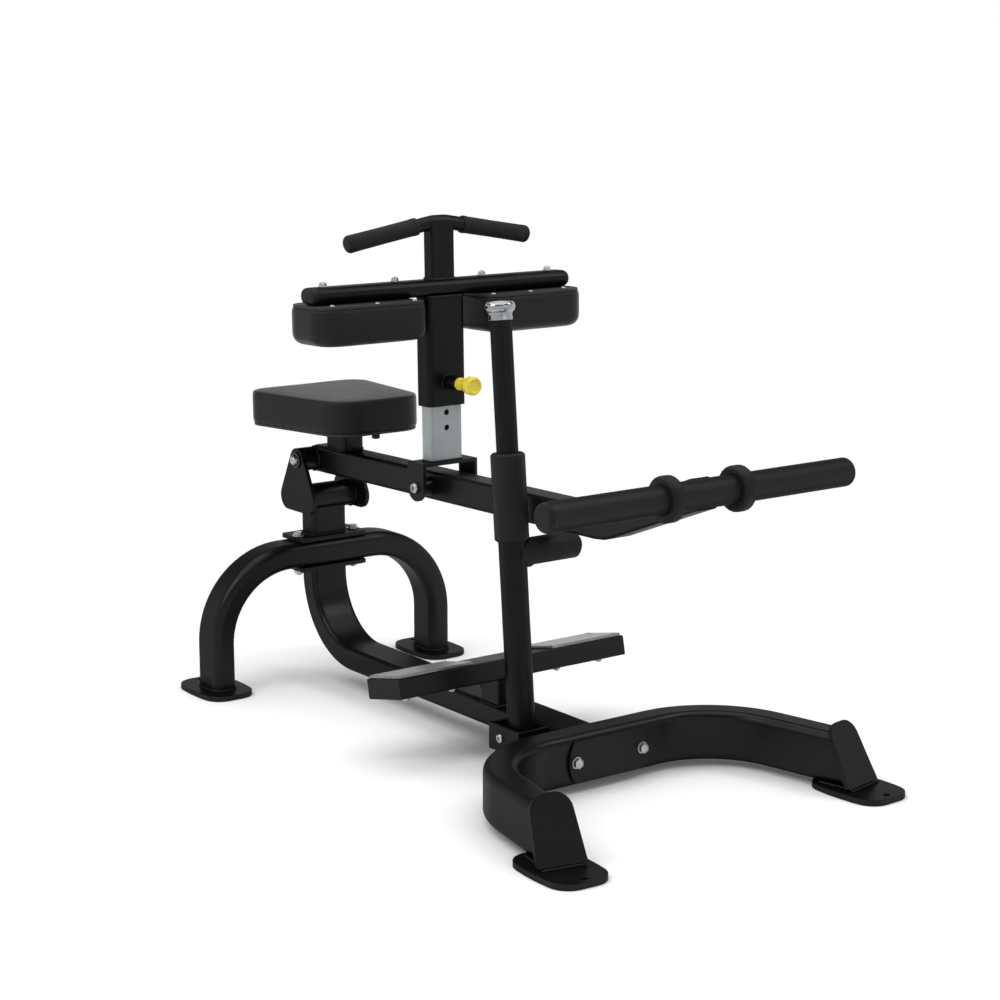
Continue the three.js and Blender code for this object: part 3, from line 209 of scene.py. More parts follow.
class MetalSizes(bpy.types.PropertyGroup):
    """Sizes of bolts, cap, knob and grips"""

    cap_radius: length("Cap radius", "Widest radius of the catch's metal cap", 26)
    cap_neck: length("Cap neck", "Radius of the metal cap's neck", 20.5)
    cap_height: length("Cap height", "Height of the metal cap", 32)
    cap_level: length("Cap level", "Cap's foot above the catch's hinge", 717.3)
    knob_radius: length("Knob radius", "Radius of the pull knob's head", 17)
    knob_neck: length("Knob neck", "Radius of the pull knob's neck", 9)
    grip_radius: length("Grip radius", "Radius of a handle grip", 15.9)
    grip_length: length("Grip length", "Length of a handle grip", 150)
    hex_radius: length("Hex head", "Corner radius of the front crossbar's hex heads", 9.2)
    washer_radius: length("Washer", "Radius of the washers under those heads", 10.36)
    small_head: length("Small head", "Corner radius of the small bolt heads", 6.6)


class Colours(bpy.types.PropertyGroup):
    """Colours of the finishes"""

    black_paint: colour("Black paint", "Satin powder coat", (0.0036, 0.0036, 0.0038))
    # A darker copy of the black paint with less gloss: painted shade on the posts, beam, handle and catch.
    shaded_post_paint: colour("Post paint", "Satin powder coat of the posts and the catch", (0.0034, 0.0034, 0.0036))
    horn_paint: colour("Horn paint", "Matt powder coat of the weight horns", (0.0048, 0.0048, 0.005))
    vinyl: colour("Vinyl", "Leatherette of the seat and pads", (0.008, 0.0081, 0.0083))
    rubber: colour("Rubber", "Rubber collars, peg and sleeve", (0.0055, 0.0055, 0.0057))
    grip: colour("Grip foam", "Foam of the handle grips", (0.007, 0.007, 0.0071))
    nylon: colour("Nylon", "Black nylon of liners", (0.006, 0.006, 0.0063))
    board: colour("Board", "Stained plywood boards", (0.005, 0.0048, 0.0046))
    plated: colour("Plated post", "Grey plating of the inner post", (0.3, 0.325, 0.335))
    zinc: colour("Zinc", "Zinc plating of the bolts", (0.4, 0.4, 0.39))
    chrome: colour("Chrome", "Chrome of the catch's cap", (0.3, 0.31, 0.32))
    tread: colour("Tread", "Aluminium of the treads", (0.21, 0.22, 0.22))
    yellow: colour("Yellow knob", "Plastic of the pull knob", (0.72, 0.58, 0.045))
    wire: colour("Spring wire", "Drawn wire of the pin's spring", (0.35, 0.36, 0.37))
    floor: colour("Floor", "Studio floor", (0.9, 0.9, 0.9))


class StageSizes(bpy.types.PropertyGroup):
    """Camera, lamps and floor"""

    eye: bpy.props.FloatVectorProperty(
        name="Camera place", description="Where the camera stands", default=(-2.32076, -3.13716, 1.2333),
        size=3, subtype="TRANSLATION",
    )
    turn: angle("Camera turn", "Camera's heading, clockwise from +Y", 36.5)
    pitch: angle("Camera pitch", "Camera's tilt downward", 11.45)
    lens: number("Lens", "Focal length in mm on a 36 mm sensor", 81.26)
    sky: number("Sky strength", "Strength of the even light from all round", 0.46)
    overhead: number("Overhead lamp", "Watts of the overhead lamp", 90)
    streak: number("Streak lamp", "Watts of the small lamp at the upper right", 16)
    key: number("Key lamp", "Watts of the lamp on the left", 32)
    fill: number("Fill lamp", "Watts of the lamp in front", 6)
    floor_light: share("Floor light", "Share of the floor's white that isn't shadowed", 0.08)
    # The floor's soft shadow near the machine is painted shade: ambient occlusion darkens its colour.
    painted_shadow_reach: length("Contact shadow", "Reach of the soft shadow on the floor", 750)
    painted_shadow_power: number("Contact power", "How strongly that shadow darkens the floor", 0.28)
    floor_radius: number("Shadow radius", "Distance at which the floor is plain white", 1.5)
    fade_start: share("Fade start", "Share of that distance at which the shadow starts to fade", 0.62)


class Settings(bpy.types.PropertyGroup):
    """All settings of the machine"""

    sizes: bpy.props.PointerProperty(type=FrameSizes)
    cushions: bpy.props.PointerProperty(type=CushionSizes)
    metal: bpy.props.PointerProperty(type=MetalSizes)
    colours: bpy.props.PointerProperty(type=Colours)
    stage: bpy.props.PointerProperty(type=StageSizes)


def settings():
    return bpy.context.scene.calf_raise


# Node trees


class Value:
    """A node's output that can be used in sums."""

    def __init__(self, tree, socket):
        self.tree = tree
        self.socket = socket

    def _maths(self, operation, first, second=0.0, clamp=False):
        changes = {"operation": operation, "use_clamp": clamp}
        return self.tree.node("ShaderNodeMath", changes, {0: first, 1: second})

    def __add__(self, other):
        return self._maths("ADD", self, other)

    def __radd__(self, other):
        return self._maths("ADD", other, self)

    def __sub__(self, other):
        return self._maths("SUBTRACT", self, other)

    def __rsub__(self, other):
        return self._maths("SUBTRACT", other, self)

    def __mul__(self, other):
        return self._maths("MULTIPLY", self, other)

    def __rmul__(self, other):
        return self._maths("MULTIPLY", other, self)

    def __pow__(self, other):
        return self._maths("POWER", self, other)

    def most(self, other):
        return self._maths("MAXIMUM", self, other)

    def clamped(self):
        return self._maths("ADD", self, 0.0, clamp=True)

    def ramp(self, low, high, out_low=0.0, out_high=1.0):
        sockets = {"Value": self, "From Min": low, "From Max": high, "To Min": out_low, "To Max": out_high}
        return self.tree.node("ShaderNodeMapRange", {"interpolation_type": "SMOOTHSTEP"}, sockets)

    def vary(self, out_low, out_high):
        """Spreads the middle of a noise between two numbers."""
        return self.ramp(0.3, 0.7, out_low, out_high)


class Tree:
    """A node tree filled by code."""

    def __init__(self, tree):
        self.tree = tree

    def node(self, kind, changes=None, sockets=None, output=0):
        made = self.tree.nodes.new(kind)
        for name, value in (changes or {}).items():
            setattr(made, name, value)
        for key, value in (sockets or {}).items():
            if isinstance(value, Value):
                self.tree.links.new(value.socket, made.inputs[key])
            else:
                made.inputs[key].default_value = value
        return Value(self, made.outputs[output]) if made.outputs else made

    def noise(self, coordinates, scale, detail=2.0, roughness=0.5):
        sockets = {"Vector": coordinates, "Scale": scale, "Detail": detail, "Roughness": roughness}
        return self.node("ShaderNodeTexNoise", {}, sockets)

    def cells(self, coordinates, scale, feature="F1"):
        sockets = {"Vector": coordinates, "Scale": scale}
        return self.node("ShaderNodeTexVoronoi", {"feature": feature}, sockets)

    def stretched(self, coordinates, scale):
        return self.node("ShaderNodeVectorMath", {"operation": "MULTIPLY"}, {0: coordinates, 1: scale})

    def blend(self, factor, first, second):
        return self.node("ShaderNodeMix", {"data_type": "RGBA"}, {0: factor, 6: first, 7: second}, output=2)

    def tinted(self, colour_value, factor):
        grey = self.node("ShaderNodeCombineColor", {}, {0: factor, 1: factor, 2: factor})
        changes = {"data_type": "RGBA", "blend_type": "MULTIPLY"}
        return self.node("ShaderNodeMix", changes, {0: 1.0, 6: colour_value, 7: grey}, output=2)

    def bump(self, height, strength, distance, normal=None):
        sockets = {"Height": height, "Strength": strength, "Distance": distance}
        if normal:
            sockets["Normal"] = normal
        return self.node("ShaderNodeBump", {}, sockets)

    def edges(self, radius):
        """1 on edges and 0 on flat faces, with the rounded normal that shows them."""
        rounded = self.node("ShaderNodeBevel", {"samples": 4}, {"Radius": radius})
        plain = self.node("ShaderNodeNewGeometry", {}, {}, output="Normal")
        both = {0: rounded, 1: plain}
        alike = self.node("ShaderNodeVectorMath", {"operation": "DOT_PRODUCT"}, both, output="Value")
        return (1 - alike).ramp(0.004, 0.14), rounded

    def facing(self):
        """0 where the surface faces the eye, rising to 1 at flat angles."""
        return self.node("ShaderNodeLayerWeight", {}, {"Blend": 0.5}, output="Facing")


class Finish:
    """A material with its principled shader, in the model's coordinates."""

    made = {}

    def __init__(self, name):
        self.material = bpy.data.materials.new(name)
        self.material.use_nodes = True
        self.material.node_tree.nodes.clear()
        self.tree = Tree(self.material.node_tree)
        self.place = self.tree.node("ShaderNodeTexCoord", {}, {}, output="Object")
        Finish.made[name] = self.material

    def shader(self, **sockets):
        names = {key.replace("_", " ").title().replace("Ior", "IOR"): value for key, value in sockets.items()}
        return self.tree.node("ShaderNodeBsdfPrincipled", {}, names)

    def cover(self, surface):
        self.tree.node("ShaderNodeOutputMaterial", {}, {"Surface": surface})
        return self.material

    def satin(self, matt_from, matt_to, **sockets):
        """A satin coat whose fine roughness hides the sky at flat angles."""
        gloss = self.shader(**sockets)
        plain = self.shader(**{**sockets, "specular_ior_level": 0.0, "roughness": 1.0})
        matt = self.tree.facing().ramp(matt_from, matt_to, 0.0, 0.6)
        return self.cover(self.tree.node("ShaderNodeMixShader", {}, {0: matt, 1: gloss, 2: plain}))


def powder_coat(name, base, low, high, gloss):
    """Satin powder coat: orange peel, faint mottling, and edges painted lighter, partly where the coat is
    worn thin and partly as a painted highlight.
    """
    finish = Finish(name)
    tree, place = finish.tree, finish.place
    mottle = tree.noise(place, 9.0, 3.0)
    peel = tree.noise(place, 620.0, 2.0, 0.6)
    speck = tree.cells(place, 900.0).ramp(0.0, 0.3, 1.0, 0.0)
    edge, rounded = tree.edges(0.0016)
    # Edges lightened in patches: partly wear of the thin coat, partly a painted highlight.
    edge_wear_and_highlight = (edge * tree.noise(place, 60.0, 3.0).ramp(0.35, 0.75)).clamped()
    shade = mottle.vary(0.86, 1.14) + speck * 0.1
    coat = tree.tinted(base, shade)
    colour_out = tree.blend(edge_wear_and_highlight * 0.5, coat, [min(1, c * 3.2) for c in base[:3]] + [1])
    roughness = mottle.ramp(0.25, 0.75, low, high) - edge_wear_and_highlight * 0.06
    return finish.satin(
        0.28, 0.56, base_color=colour_out, roughness=roughness, specular_ior_level=gloss,
        normal=tree.bump(peel, 0.16, 0.0004, rounded),
    )


def leatherette(name, base):
    """Soft vinyl: pebbled grain with fine creases painted darker as painted shade, a little sheen and uneven
    gloss.
    """
    finish = Finish(name)
    tree, place = finish.tree, finish.place
    bent = tree.node(
        "ShaderNodeVectorMath", {"operation": "MULTIPLY_ADD"},
        {0: tree.node("ShaderNodeTexNoise", {}, {"Vector": place, "Scale": 300.0}, output="Color"),
         1: (0.0012, 0.0012, 0.0012), 2: place},
    )
    grain = tree.cells(bent, 640.0, "DISTANCE_TO_EDGE").ramp(0.0, 0.18)
    fine = tree.noise(place, 1500.0, 2.0)
    soft = tree.noise(place, 14.0, 3.0)
    height = grain * 0.8 + fine * 0.25
    # The grain's creases are painted darker: painted shade in the hollows.
    shade = grain.ramp(0.0, 1.0, 0.78, 1.05) * soft.vary(0.92, 1.08)
    roughness = grain.ramp(0.0, 1.0, 0.6, 0.42) + soft.vary(-0.03, 0.03)
    tint, bumps = tree.tinted(base, shade), tree.bump(height, 0.3, 0.0004)
    dull, sheen = (
        finish.shader(specular_ior_level=gloss, base_color=tint, roughness=roughness, normal=bumps)
        for gloss in (0.16, 0.54)
    )
    edge_on = tree.facing().ramp(0.5, 0.78)
    return finish.cover(tree.node("ShaderNodeMixShader", {}, {0: edge_on, 1: dull, 2: sheen}))


def moulded_rubber(name, base):
    """Moulded rubber: matt, faintly mottled, with a fine texture and paler rubbed edges."""
    finish = Finish(name)
    tree, place = finish.tree, finish.place
    mottle = tree.noise(place, 30.0, 4.0)
    fine = tree.noise(place, 900.0, 2.0)
    edge, rounded = tree.edges(0.0015)
    shade = mottle.vary(0.85, 1.15) + edge * 0.7
    return finish.satin(
        0.55, 0.9, base_color=tree.tinted(base, shade), roughness=mottle.vary(0.55, 0.68),
        specular_ior_level=0.2, normal=tree.bump(fine, 0.25, 0.0004, rounded),
    )


def foam(name, base):
    """Closed-cell foam of the grips: tiny open pores painted dark as painted shade, and a matt skin."""
    finish = Finish(name)
    tree, place = finish.tree, finish.place
    pores = tree.cells(place, 1100.0).ramp(0.0, 0.35)
    mottle = tree.noise(place, 40.0, 3.0)
    # The pores are painted darker: painted shade in the recesses.
    shade = pores.ramp(0.0, 1.0, 0.6, 1.08) * mottle.vary(0.88, 1.12)
    return finish.satin(
        0.55, 0.9, base_color=tree.tinted(base, shade), roughness=mottle.vary(0.66, 0.78),
        specular_ior_level=0.2, normal=tree.bump(pores, 0.45, 0.0005),
    )


def plain_plastic(name, base, low, high):
    """Moulded plastic with a fine spark-eroded texture and rubbed edges."""
    finish = Finish(name)
    tree, place = finish.tree, finish.place
    mottle = tree.noise(place, 45.0, 3.0)
    fine = tree.noise(place, 1200.0, 2.0)
    edge, rounded = tree.edges(0.001)
    shade = mottle.vary(0.94, 1.06) + edge * 0.08
    return finish.cover(finish.shader(
        base_color=tree.tinted(base, shade), roughness=mottle.vary(low, high),
        normal=tree.bump(fine, 0.12, 0.0003, rounded),
    ))


def stained_board(name, base):
    """Black stained plywood: streaked grain and small pores."""
    finish = Finish(name)
    tree, place = finish.tree, finish.place
    streaks, grain = (
        tree.noise(tree.stretched(place, (along, across, across)), 1.0, 4.0, 0.6)
        for along, across in ((14.0, 260.0), (60.0, 900.0))
    )
    pores = grain.ramp(0.56, 0.72)
    shade = streaks.vary(0.7, 1.4) - pores * 0.4
    return finish.cover(finish.shader(
        base_color=tree.tinted(base, shade), roughness=streaks.vary(0.6, 0.78),
        normal=tree.bump(streaks - pores, 0.3, 0.0003),
    ))


def plated(name, base, roughness, stretch, brushing):
    """Plated or drawn metal: brushing along the piece, cloudy patches and bright edges."""
    finish = Finish(name)
    tree, place = finish.tree, finish.place
    cloud = tree.noise(place, 22.0, 4.0)
    lines = tree.noise(tree.stretched(place, stretch), 1.0, 3.0, 0.65)
    edge, rounded = tree.edges(0.0008)
    shade = cloud.vary(0.93, 1.05) + lines.vary(-0.06, 0.06) + edge * 0.15
    gloss = cloud.vary(roughness * 0.85, roughness * 1.2) + lines.vary(-0.05, 0.05)
    return finish.cover(finish.shader(
        base_color=tree.tinted(base, shade), metallic=1.0, roughness=gloss,
        normal=tree.bump(lines, brushing, 0.0002, rounded),
    ))


def grey_plating(name, base):
    """The inner post's satin grey plating, half metal, with rub marks from the sleeve's liner."""
    finish = Finish(name)
    tree, place = finish.tree, finish.place
    cloud = tree.noise(place, 12.0, 4.0)
    rubs = tree.noise(tree.stretched(place, (900.0, 900.0, 12.0)), 1.0, 3.0, 0.6)
    edge, rounded = tree.edges(0.0012)
    shade = cloud.vary(0.95, 1.05) + rubs.ramp(0.45, 0.75, 0.0, 0.07) + edge * 0.25
    return finish.cover(finish.shader(
        base_color=tree.tinted(base, shade), metallic=0.35, roughness=rubs.ramp(0.3, 0.75, 0.46, 0.36),
        normal=tree.bump(rubs, 0.05, 0.0002, rounded),
    ))


def ribbed_aluminium(name, base):
    """The treads: aluminium with fine ribs along the bar, troughs painted darker as painted shade, brushed,
    with scuffed crests.
    """
    finish = Finish(name)
    tree, place = finish.tree, finish.place
    changes = {"wave_type": "BANDS", "bands_direction": "Y", "wave_profile": "SIN"}
    ribs = tree.node("ShaderNodeTexWave", changes, {"Vector": place, "Scale": 33.0, "Distortion": 0.0})
    lines = tree.noise(tree.stretched(place, (14.0, 1600.0, 1600.0)), 1.0, 3.0, 0.65)
    cloud = tree.noise(place, 25.0, 4.0)
    scuff = (ribs.ramp(0.5, 1.0) * cloud.ramp(0.45, 0.7)).clamped()
    edge, rounded = tree.edges(0.0008)
    # The troughs between the ribs are painted darker: painted shade in the grooves.
    shade = ribs.ramp(0.0, 0.6, 0.72, 1.0) * cloud.vary(0.94, 1.05) + scuff * 0.08 + edge * 0.12
    roughness = lines.vary(0.26, 0.38) + scuff * 0.08
    return finish.cover(finish.shader(
        base_color=tree.tinted(base, shade), metallic=1.0, roughness=roughness,
        normal=tree.bump(ribs + lines * 0.15, 0.5, 0.0006, rounded),
    ))


# Shapes


def shell(name, verts, faces):
    mesh = bpy.data.meshes.new(name)
    mesh.from_pydata([tuple(v) for v in verts], [], faces)
    mesh.update()
    return mesh


def ring_faces(rows, count, closed_ends=True):
    """Faces between rows of the same number of points, and over both ends."""
    faces = []
    for r in range(rows - 1):
        for i in range(count):
            j = (i + 1) % count
            faces.append((r * count + i, r * count + j, (r + 1) * count + j, (r + 1) * count + i))
    if closed_ends:
        faces.append(tuple(reversed(range(count))))
        faces.append(tuple((rows - 1) * count + i for i in range(count)))
    return faces


def turned(profile, steps=48, start=0.0):
    """A turned solid along +Z from (radius, z) pairs in mm; the ends lie on the axis or close flat."""
    angles = [start + 2 * math.pi * i / steps for i in range(steps)]
    verts = [(r * MM * math.cos(a), r * MM * math.sin(a), z * MM) for r, z in profile for a in angles]
    return verts, ring_faces(len(profile), steps)


def rod(radius, low, high, steps=32):
    return turned([(radius, low), (radius, high)], steps)


def rounded_end(radius, z, inward, upward, steps, first=1):
    """Points of a turned profile that rounds its side over into its end."""
    angles = [math.pi / 2 * k / steps for k in range(first, steps + 1)]
    return [(radius - inward * (1 - math.cos(a)), z + upward * math.sin(a)) for a in angles]


def arc_points(x, y, radius, start, end, steps):
    angles = [start + (end - start) * k / steps for k in range(steps + 1)]
    return [(x + radius * math.cos(a), y + radius * math.sin(a)) for a in angles]


def around(circles, steps=10):
    """The outline round circles (x, y, radius) given anticlockwise, in metres."""
    count = len(circles)
    normals = []
    for i, (x, y, radius) in enumerate(circles):
        x2, y2, radius2 = circles[(i + 1) % count]
        run = math.hypot(x2 - x, y2 - y)
        normals.append(math.atan2(y2 - y, x2 - x) - math.acos((radius - radius2) / run))
    points = []
    for i, (x, y, radius) in enumerate(circles):
        start, end = normals[i - 1], normals[i]
        while end < start:
            end += 2 * math.pi
        points += arc_points(x, y, radius, start, end, steps)
    return points


def rectangle(width, height, corner, steps=8):
    x, y = width / 2 - corner, height / 2 - corner
    return around([(x, y, corner), (-x, y, corner), (-x, -y, corner), (x, -y, corner)], steps)


def prism(outline, low, high, place=Matrix()):
    """A solid over an outline in the XY plane."""
    verts = [place @ Vector((x, y, z)) for z in (low, high) for x, y in outline]
    return verts, ring_faces(2, len(outline))


def bent_line(corners, radii, step=math.radians(3)):
    """Points and headings along a path whose corners are arcs."""
    heading = [(b - a).normalized() for a, b in zip(corners, corners[1:])]
    stations = [(corners[0], heading[0])]
    for i in range(1, len(corners) - 1):
        before, after = heading[i - 1], heading[i]
        turn, radius = before.angle(after), radii[i - 1]
        begin = corners[i] - before * radius * math.tan(turn / 2)
        inward = (after - before * after.dot(before)).normalized()
        steps = max(2, math.ceil(turn / step))
        for k in range(steps + 1):
            a = turn * k / steps
            point = begin + before * radius * math.sin(a) + inward * radius * (1 - math.cos(a))
            stations.append((point, before * math.cos(a) + inward * math.sin(a)))
    stations.append((corners[-1], heading[-1]))
    return stations


def swept(stations, normal, outline, place=Matrix()):
    """An outline swept along stations; its x stays along the path plane's normal."""
    verts = []
    for point, tangent in stations:
        across = tangent.cross(normal)
        verts += [place @ (point + normal * x + across * y) for x, y in outline]
    return verts, ring_faces(len(stations), len(outline))


def joined(*parts):
    verts, faces = [], []
    for part_verts, part_faces in parts:
        offset = len(verts)
        verts += [Vector(v) for v in part_verts]
        faces += [tuple(offset + i for i in face) for face in part_faces]
    return verts, faces


def placed(part, place):
    verts, faces = part
    return [place @ Vector(v) for v in verts], faces


def mirrored(*points):
    """A path from the right side through the points, and back through their mirror images."""
    return [Vector((-x, y, z)) for x, y, z in points] + [Vector(point) for point in reversed(points)]


def outward(side):
    """Turns a piece made for the left side over to the other."""
    return spin(0 if side > 0 else math.pi, "Z")


def axis_x(x, y, z, side=1):
    """Turns a solid made along +Z so that it runs along +X, or -X for the other side."""
    return shift(x, y, z) @ spin(side * math.pi / 2, "Y")


def axis_minus_y(x, y, z):
    return shift(x, y, z) @ spin(math.pi / 2, "X")


def added(name, data):
    obj = bpy.data.objects.new(name, data)
    bpy.context.scene.collection.objects.link(obj)
    return obj


def clean(mesh, merge=True):
    """Turns the faces outward, as a rule after merging points that lie together."""
    work = bmesh.new()
    work.from_mesh(mesh)
    if merge:
        bmesh.ops.remove_doubles(work, verts=work.verts, dist=1e-7)
        bmesh.ops.dissolve_degenerate(work, edges=work.edges, dist=1e-7)
    bmesh.ops.recalc_face_normals(work, faces=work.faces)
    work.to_mesh(mesh)
    work.free()


def shade_tree():
    """Geometry nodes that shade smooth except across edges sharper than a limit."""
    if "smooth_by_angle" in bpy.data.node_groups:
        return bpy.data.node_groups["smooth_by_angle"]
    group = bpy.data.node_groups.new("smooth_by_angle", "GeometryNodeTree")
    group.interface.new_socket("Geometry", in_out="INPUT", socket_type="NodeSocketGeometry")
    group.interface.new_socket("Geometry", in_out="OUTPUT", socket_type="NodeSocketGeometry")
    tree = Tree(group)
    given = tree.node("NodeGroupInput")
    bare = tree.node("GeometryNodeRemoveAttribute", {}, {"Geometry": given, "Name": "custom_normal"})
    sockets = {"Geometry": bare, "Shade Smooth": True}
    smooth = tree.node("GeometryNodeSetShadeSmooth", {"domain": "FACE"}, sockets)
    fold = tree.node("GeometryNodeInputMeshEdgeAngle", output="Unsigned Angle")
    sharp = tree.node("FunctionNodeCompare", {"operation": "GREATER_THAN"}, {0: fold, 1: SHARP})
    sockets = {"Geometry": smooth, "Selection": sharp, "Shade Smooth": False}
    done = tree.node("GeometryNodeSetShadeSmooth", {"domain": "EDGE"}, sockets)
    tree.node("NodeGroupOutput", {}, {"Geometry": done})
    return group


def modify(obj, name, kind, **changes):
    made = obj.modifiers.new(name, kind)
    for key, value in changes.items():
        setattr(made, key, value)
    return made


def soften(obj, width):
    """Rounds the sharp edges by a width in mm and shades the rest smooth."""
    modify(obj, "weld", "WELD", merge_threshold=1e-6)
    if width:
        modify(obj, "flat faces", "DECIMATE", decimate_type="DISSOLVE", angle_limit=math.radians(0.4))
        modify(
            obj, "edges", "BEVEL", width=width * MM, segments=2, limit_method="ANGLE", angle_limit=SHARP,
            use_clamp_overlap=True,
        )
    modify(obj, "shading", "NODES", node_group=shade_tree())
    modify(obj, "normals", "WEIGHTED_NORMAL", keep_sharp=True)


def settle(obj, finish, body, replaces=()):
    """Gives a piece its finish, the body that it moves with and the nodes that it stands for."""
    obj.data.materials.append(Finish.made[finish])
    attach(obj, body)
    if replaces:
        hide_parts(*replaces)


def piece(name, part, finish, body, replaces=(), soft_edge=0):
    obj = added(name, shell(name, *part))
    clean(obj.data)
    soften(obj, soft_edge)
    settle(obj, finish, body, replaces)


def dress(names, finish, soft_edge):
    """Gives CAD pieces their finish and soft edges."""
    for name in names:
        node = NODES[name]
        for socket in node.material_slots:
            socket.material = Finish.made[finish]
        soften(node, soft_edge)


# Fasteners

DOME_NUT = [
    (10.2, 0), (10.2, 3.4), (9.7, 4.2), (9.4, 6.0), (8.4, 8.4), (6.4, 10.2), (3.6, 11.2), (0.01, 11.5),
]
SPACER_RING = [(15.5, 0), (15.5, 2.2), (12.5, 3.6), (11.2, 3.6), (11.2, 0)]


def on_washer(radius, height):
    """A list with the washer, if there is one, and the level of its top, in mm."""
    return ([rod(radius, 0, height, 40)], height) if radius else ([], 0.0)


def hex_bolt(radius, head, grip=0.0, washer=0.0, washer_height=2.0, shank=4.0):
    """A hex head with its chamfer above z = 0 and a washer under it; the shank goes down, in mm."""
    parts, low = on_washer(washer, washer_height)
    flat = radius * math.cos(math.pi / 6)
    sides = [(radius, low), (radius, low + head * 0.88), (flat * 0.92, low + head)]
    parts.append(turned(sides, 6, math.pi / 6))
    parts.append(rod(flat * 0.8, low + head * 0.5, low + head * 1.02))
    if grip:
        parts.append(rod(shank, -grip, 0, 20))
    return joined(*parts)


def button_bolt(radius, head, socket, grip=0.0, shank=4.0):
    """A domed head with a hex socket above z = 0; the shank goes down, in mm."""
    rim = [(radius, 0), (radius, head * 0.25)]
    dome = rounded_end(radius, head * 0.25, radius - socket * 1.35, head * 0.75, 6)
    recess = [(socket * 1.08, head), (socket, head - 0.4), (socket, head * 0.35), (0.01, head * 0.35)]
    parts = [turned(rim + dome + recess, 36)]
    if grip:
        parts.append(rod(shank, -grip, 0, 20))
    return joined(*parts)


def lock_nut(radius, height, washer=0.0, thread=3.5, washer_height=1.8):
    """A nut with a rounded collar and the bolt's end showing, above z = 0, in mm."""
    parts, low = on_washer(washer, washer_height)
    flat = radius * math.cos(math.pi / 6)
    sides = [(radius, low), (radius, low + height * 0.72), (flat * 0.95, low + height * 0.86)]
    parts.append(turned(sides, 6, math.pi / 6))
    wide, top = flat * 0.86, low + height
    collar = [(wide, low + height * 0.5), (wide, low + height * 0.9), (flat * 0.7, top), (thread, top)]
    parts.append(turned(collar, 32))
    end = [(thread, low), (thread, low + height * 1.12), (thread * 0.8, low + height * 1.2)]
    parts.append(turned(end, 20))
    return joined(*parts)


def bolt_row(name, bolt, places, body, finish="zinc", soft_edge=0.0):
    """One piece that holds the same bolt at several places."""
    piece(name, joined(*(placed(bolt, place) for place in places)), finish, body, soft_edge=soft_edge)


# Welds


def bead(points, radius, closed=True, pitch=0.0045, place=Matrix()):
    """A rippled weld bead along points in metres."""
    line = [Vector(p) for p in points]
    if closed:
        line.append(line[0])
    lengths = [0.0]
    for a, b in zip(line, line[1:]):
        lengths.append(lengths[-1] + (b - a).length)
    total = lengths[-1]
    steps = max(6, round(total / pitch)) * 3
    stations = []
    k = 0
    for i in range(steps + (0 if closed else 1)):
        goal = total * i / steps
        while k < len(line) - 2 and lengths[k + 1] < goal:
            k += 1
        span = lengths[k + 1] - lengths[k] or 1.0
        stations.append(line[k].lerp(line[k + 1], (goal - lengths[k]) / span))
    sides = 7
    verts = []
    count = len(stations)
    for i, point in enumerate(stations):
        ahead = stations[(i + 1) % count] if closed or i < count - 1 else point
        behind = stations[i - 1] if closed or i > 0 else point
        tangent = (ahead - behind).normalized()
        helper = Vector((0, 0, 1)) if abs(tangent.z) < 0.9 else Vector((1, 0, 0))
        first = tangent.cross(helper).normalized()
        second = tangent.cross(first)
        swell = radius * (1.0, 1.18, 0.84)[i % 3]
        for s in range(sides):
            a = 2 * math.pi * s / sides
            verts.append(place @ (point + (first * math.cos(a) + second * math.sin(a)) * swell))
    faces = ring_faces(count, sides, closed_ends=not closed)
    if closed:
        last = (count - 1) * sides
        for s in range(sides):
            t = (s + 1) % sides
            faces.append((last + s, last + t, t, s))
    return verts, faces


def circle(radius, steps):
    """Points of a circle with a radius in mm, for a bead."""
    angles = [2 * math.pi * k / steps for k in range(steps)]
    return [(radius * math.cos(a) * MM, radius * math.sin(a) * MM, 0) for a in angles]


def box_bead(width, height, corner, steps, radius, place):
    """A bead all round a rounded rectangle."""
    return bead([(x, y, 0) for x, y in rectangle(width, height, corner, steps)], radius, place=place)


def weld_piece(name, beads, body):
    obj = added(name, shell(name, *joined(*beads)))
    clean(obj.data, merge=False)
    for face in obj.data.polygons:
        face.use_smooth = True
    settle(obj, "black_paint", body)


# Cushions


def cushion_part(outline, thickness, top_edge, low_edge=1 * MM, crown=2 * MM):
    """A closed cushion on z = 0 over an outline: rounded edges and a crowned top, in metres."""
    count = len(outline)
    centre = Vector((sum(p[0] for p in outline) / count, sum(p[1] for p in outline) / count))
    inward = []
    for i in range(count):
        ahead, behind = Vector(outline[(i + 1) % count]), Vector(outline[i - 1])
        along = (ahead - behind).normalized()
        inward.append(Vector((-along.y, along.x)))
    rows = []

    def row(depth, z):
        rows.append([(p[0] + n.x * depth, p[1] + n.y * depth, z) for p, n in zip(outline, inward)])

    for k in range(5):
        a = math.pi / 2 * k / 4
        row(low_edge * (1 - math.sin(a)), low_edge * (1 - math.cos(a)))
    shoulder = thickness - crown - top_edge
    for k in range(5):
        a = math.pi / 2 * k / 4
        row(top_edge * (1 - math.cos(a)), shoulder + top_edge * math.sin(a))
    rim = rows[-1]
    for k in range(1, 8):
        s = k / 8
        lift = crown * (1 - (1 - s) ** 2)
        rows.append([(x + (centre.x - x) * s, y + (centre.y - y) * s, z + lift) for x, y, z in rim])
    verts = [v for r in rows for v in r]
    return verts, ring_faces(len(rows), count)


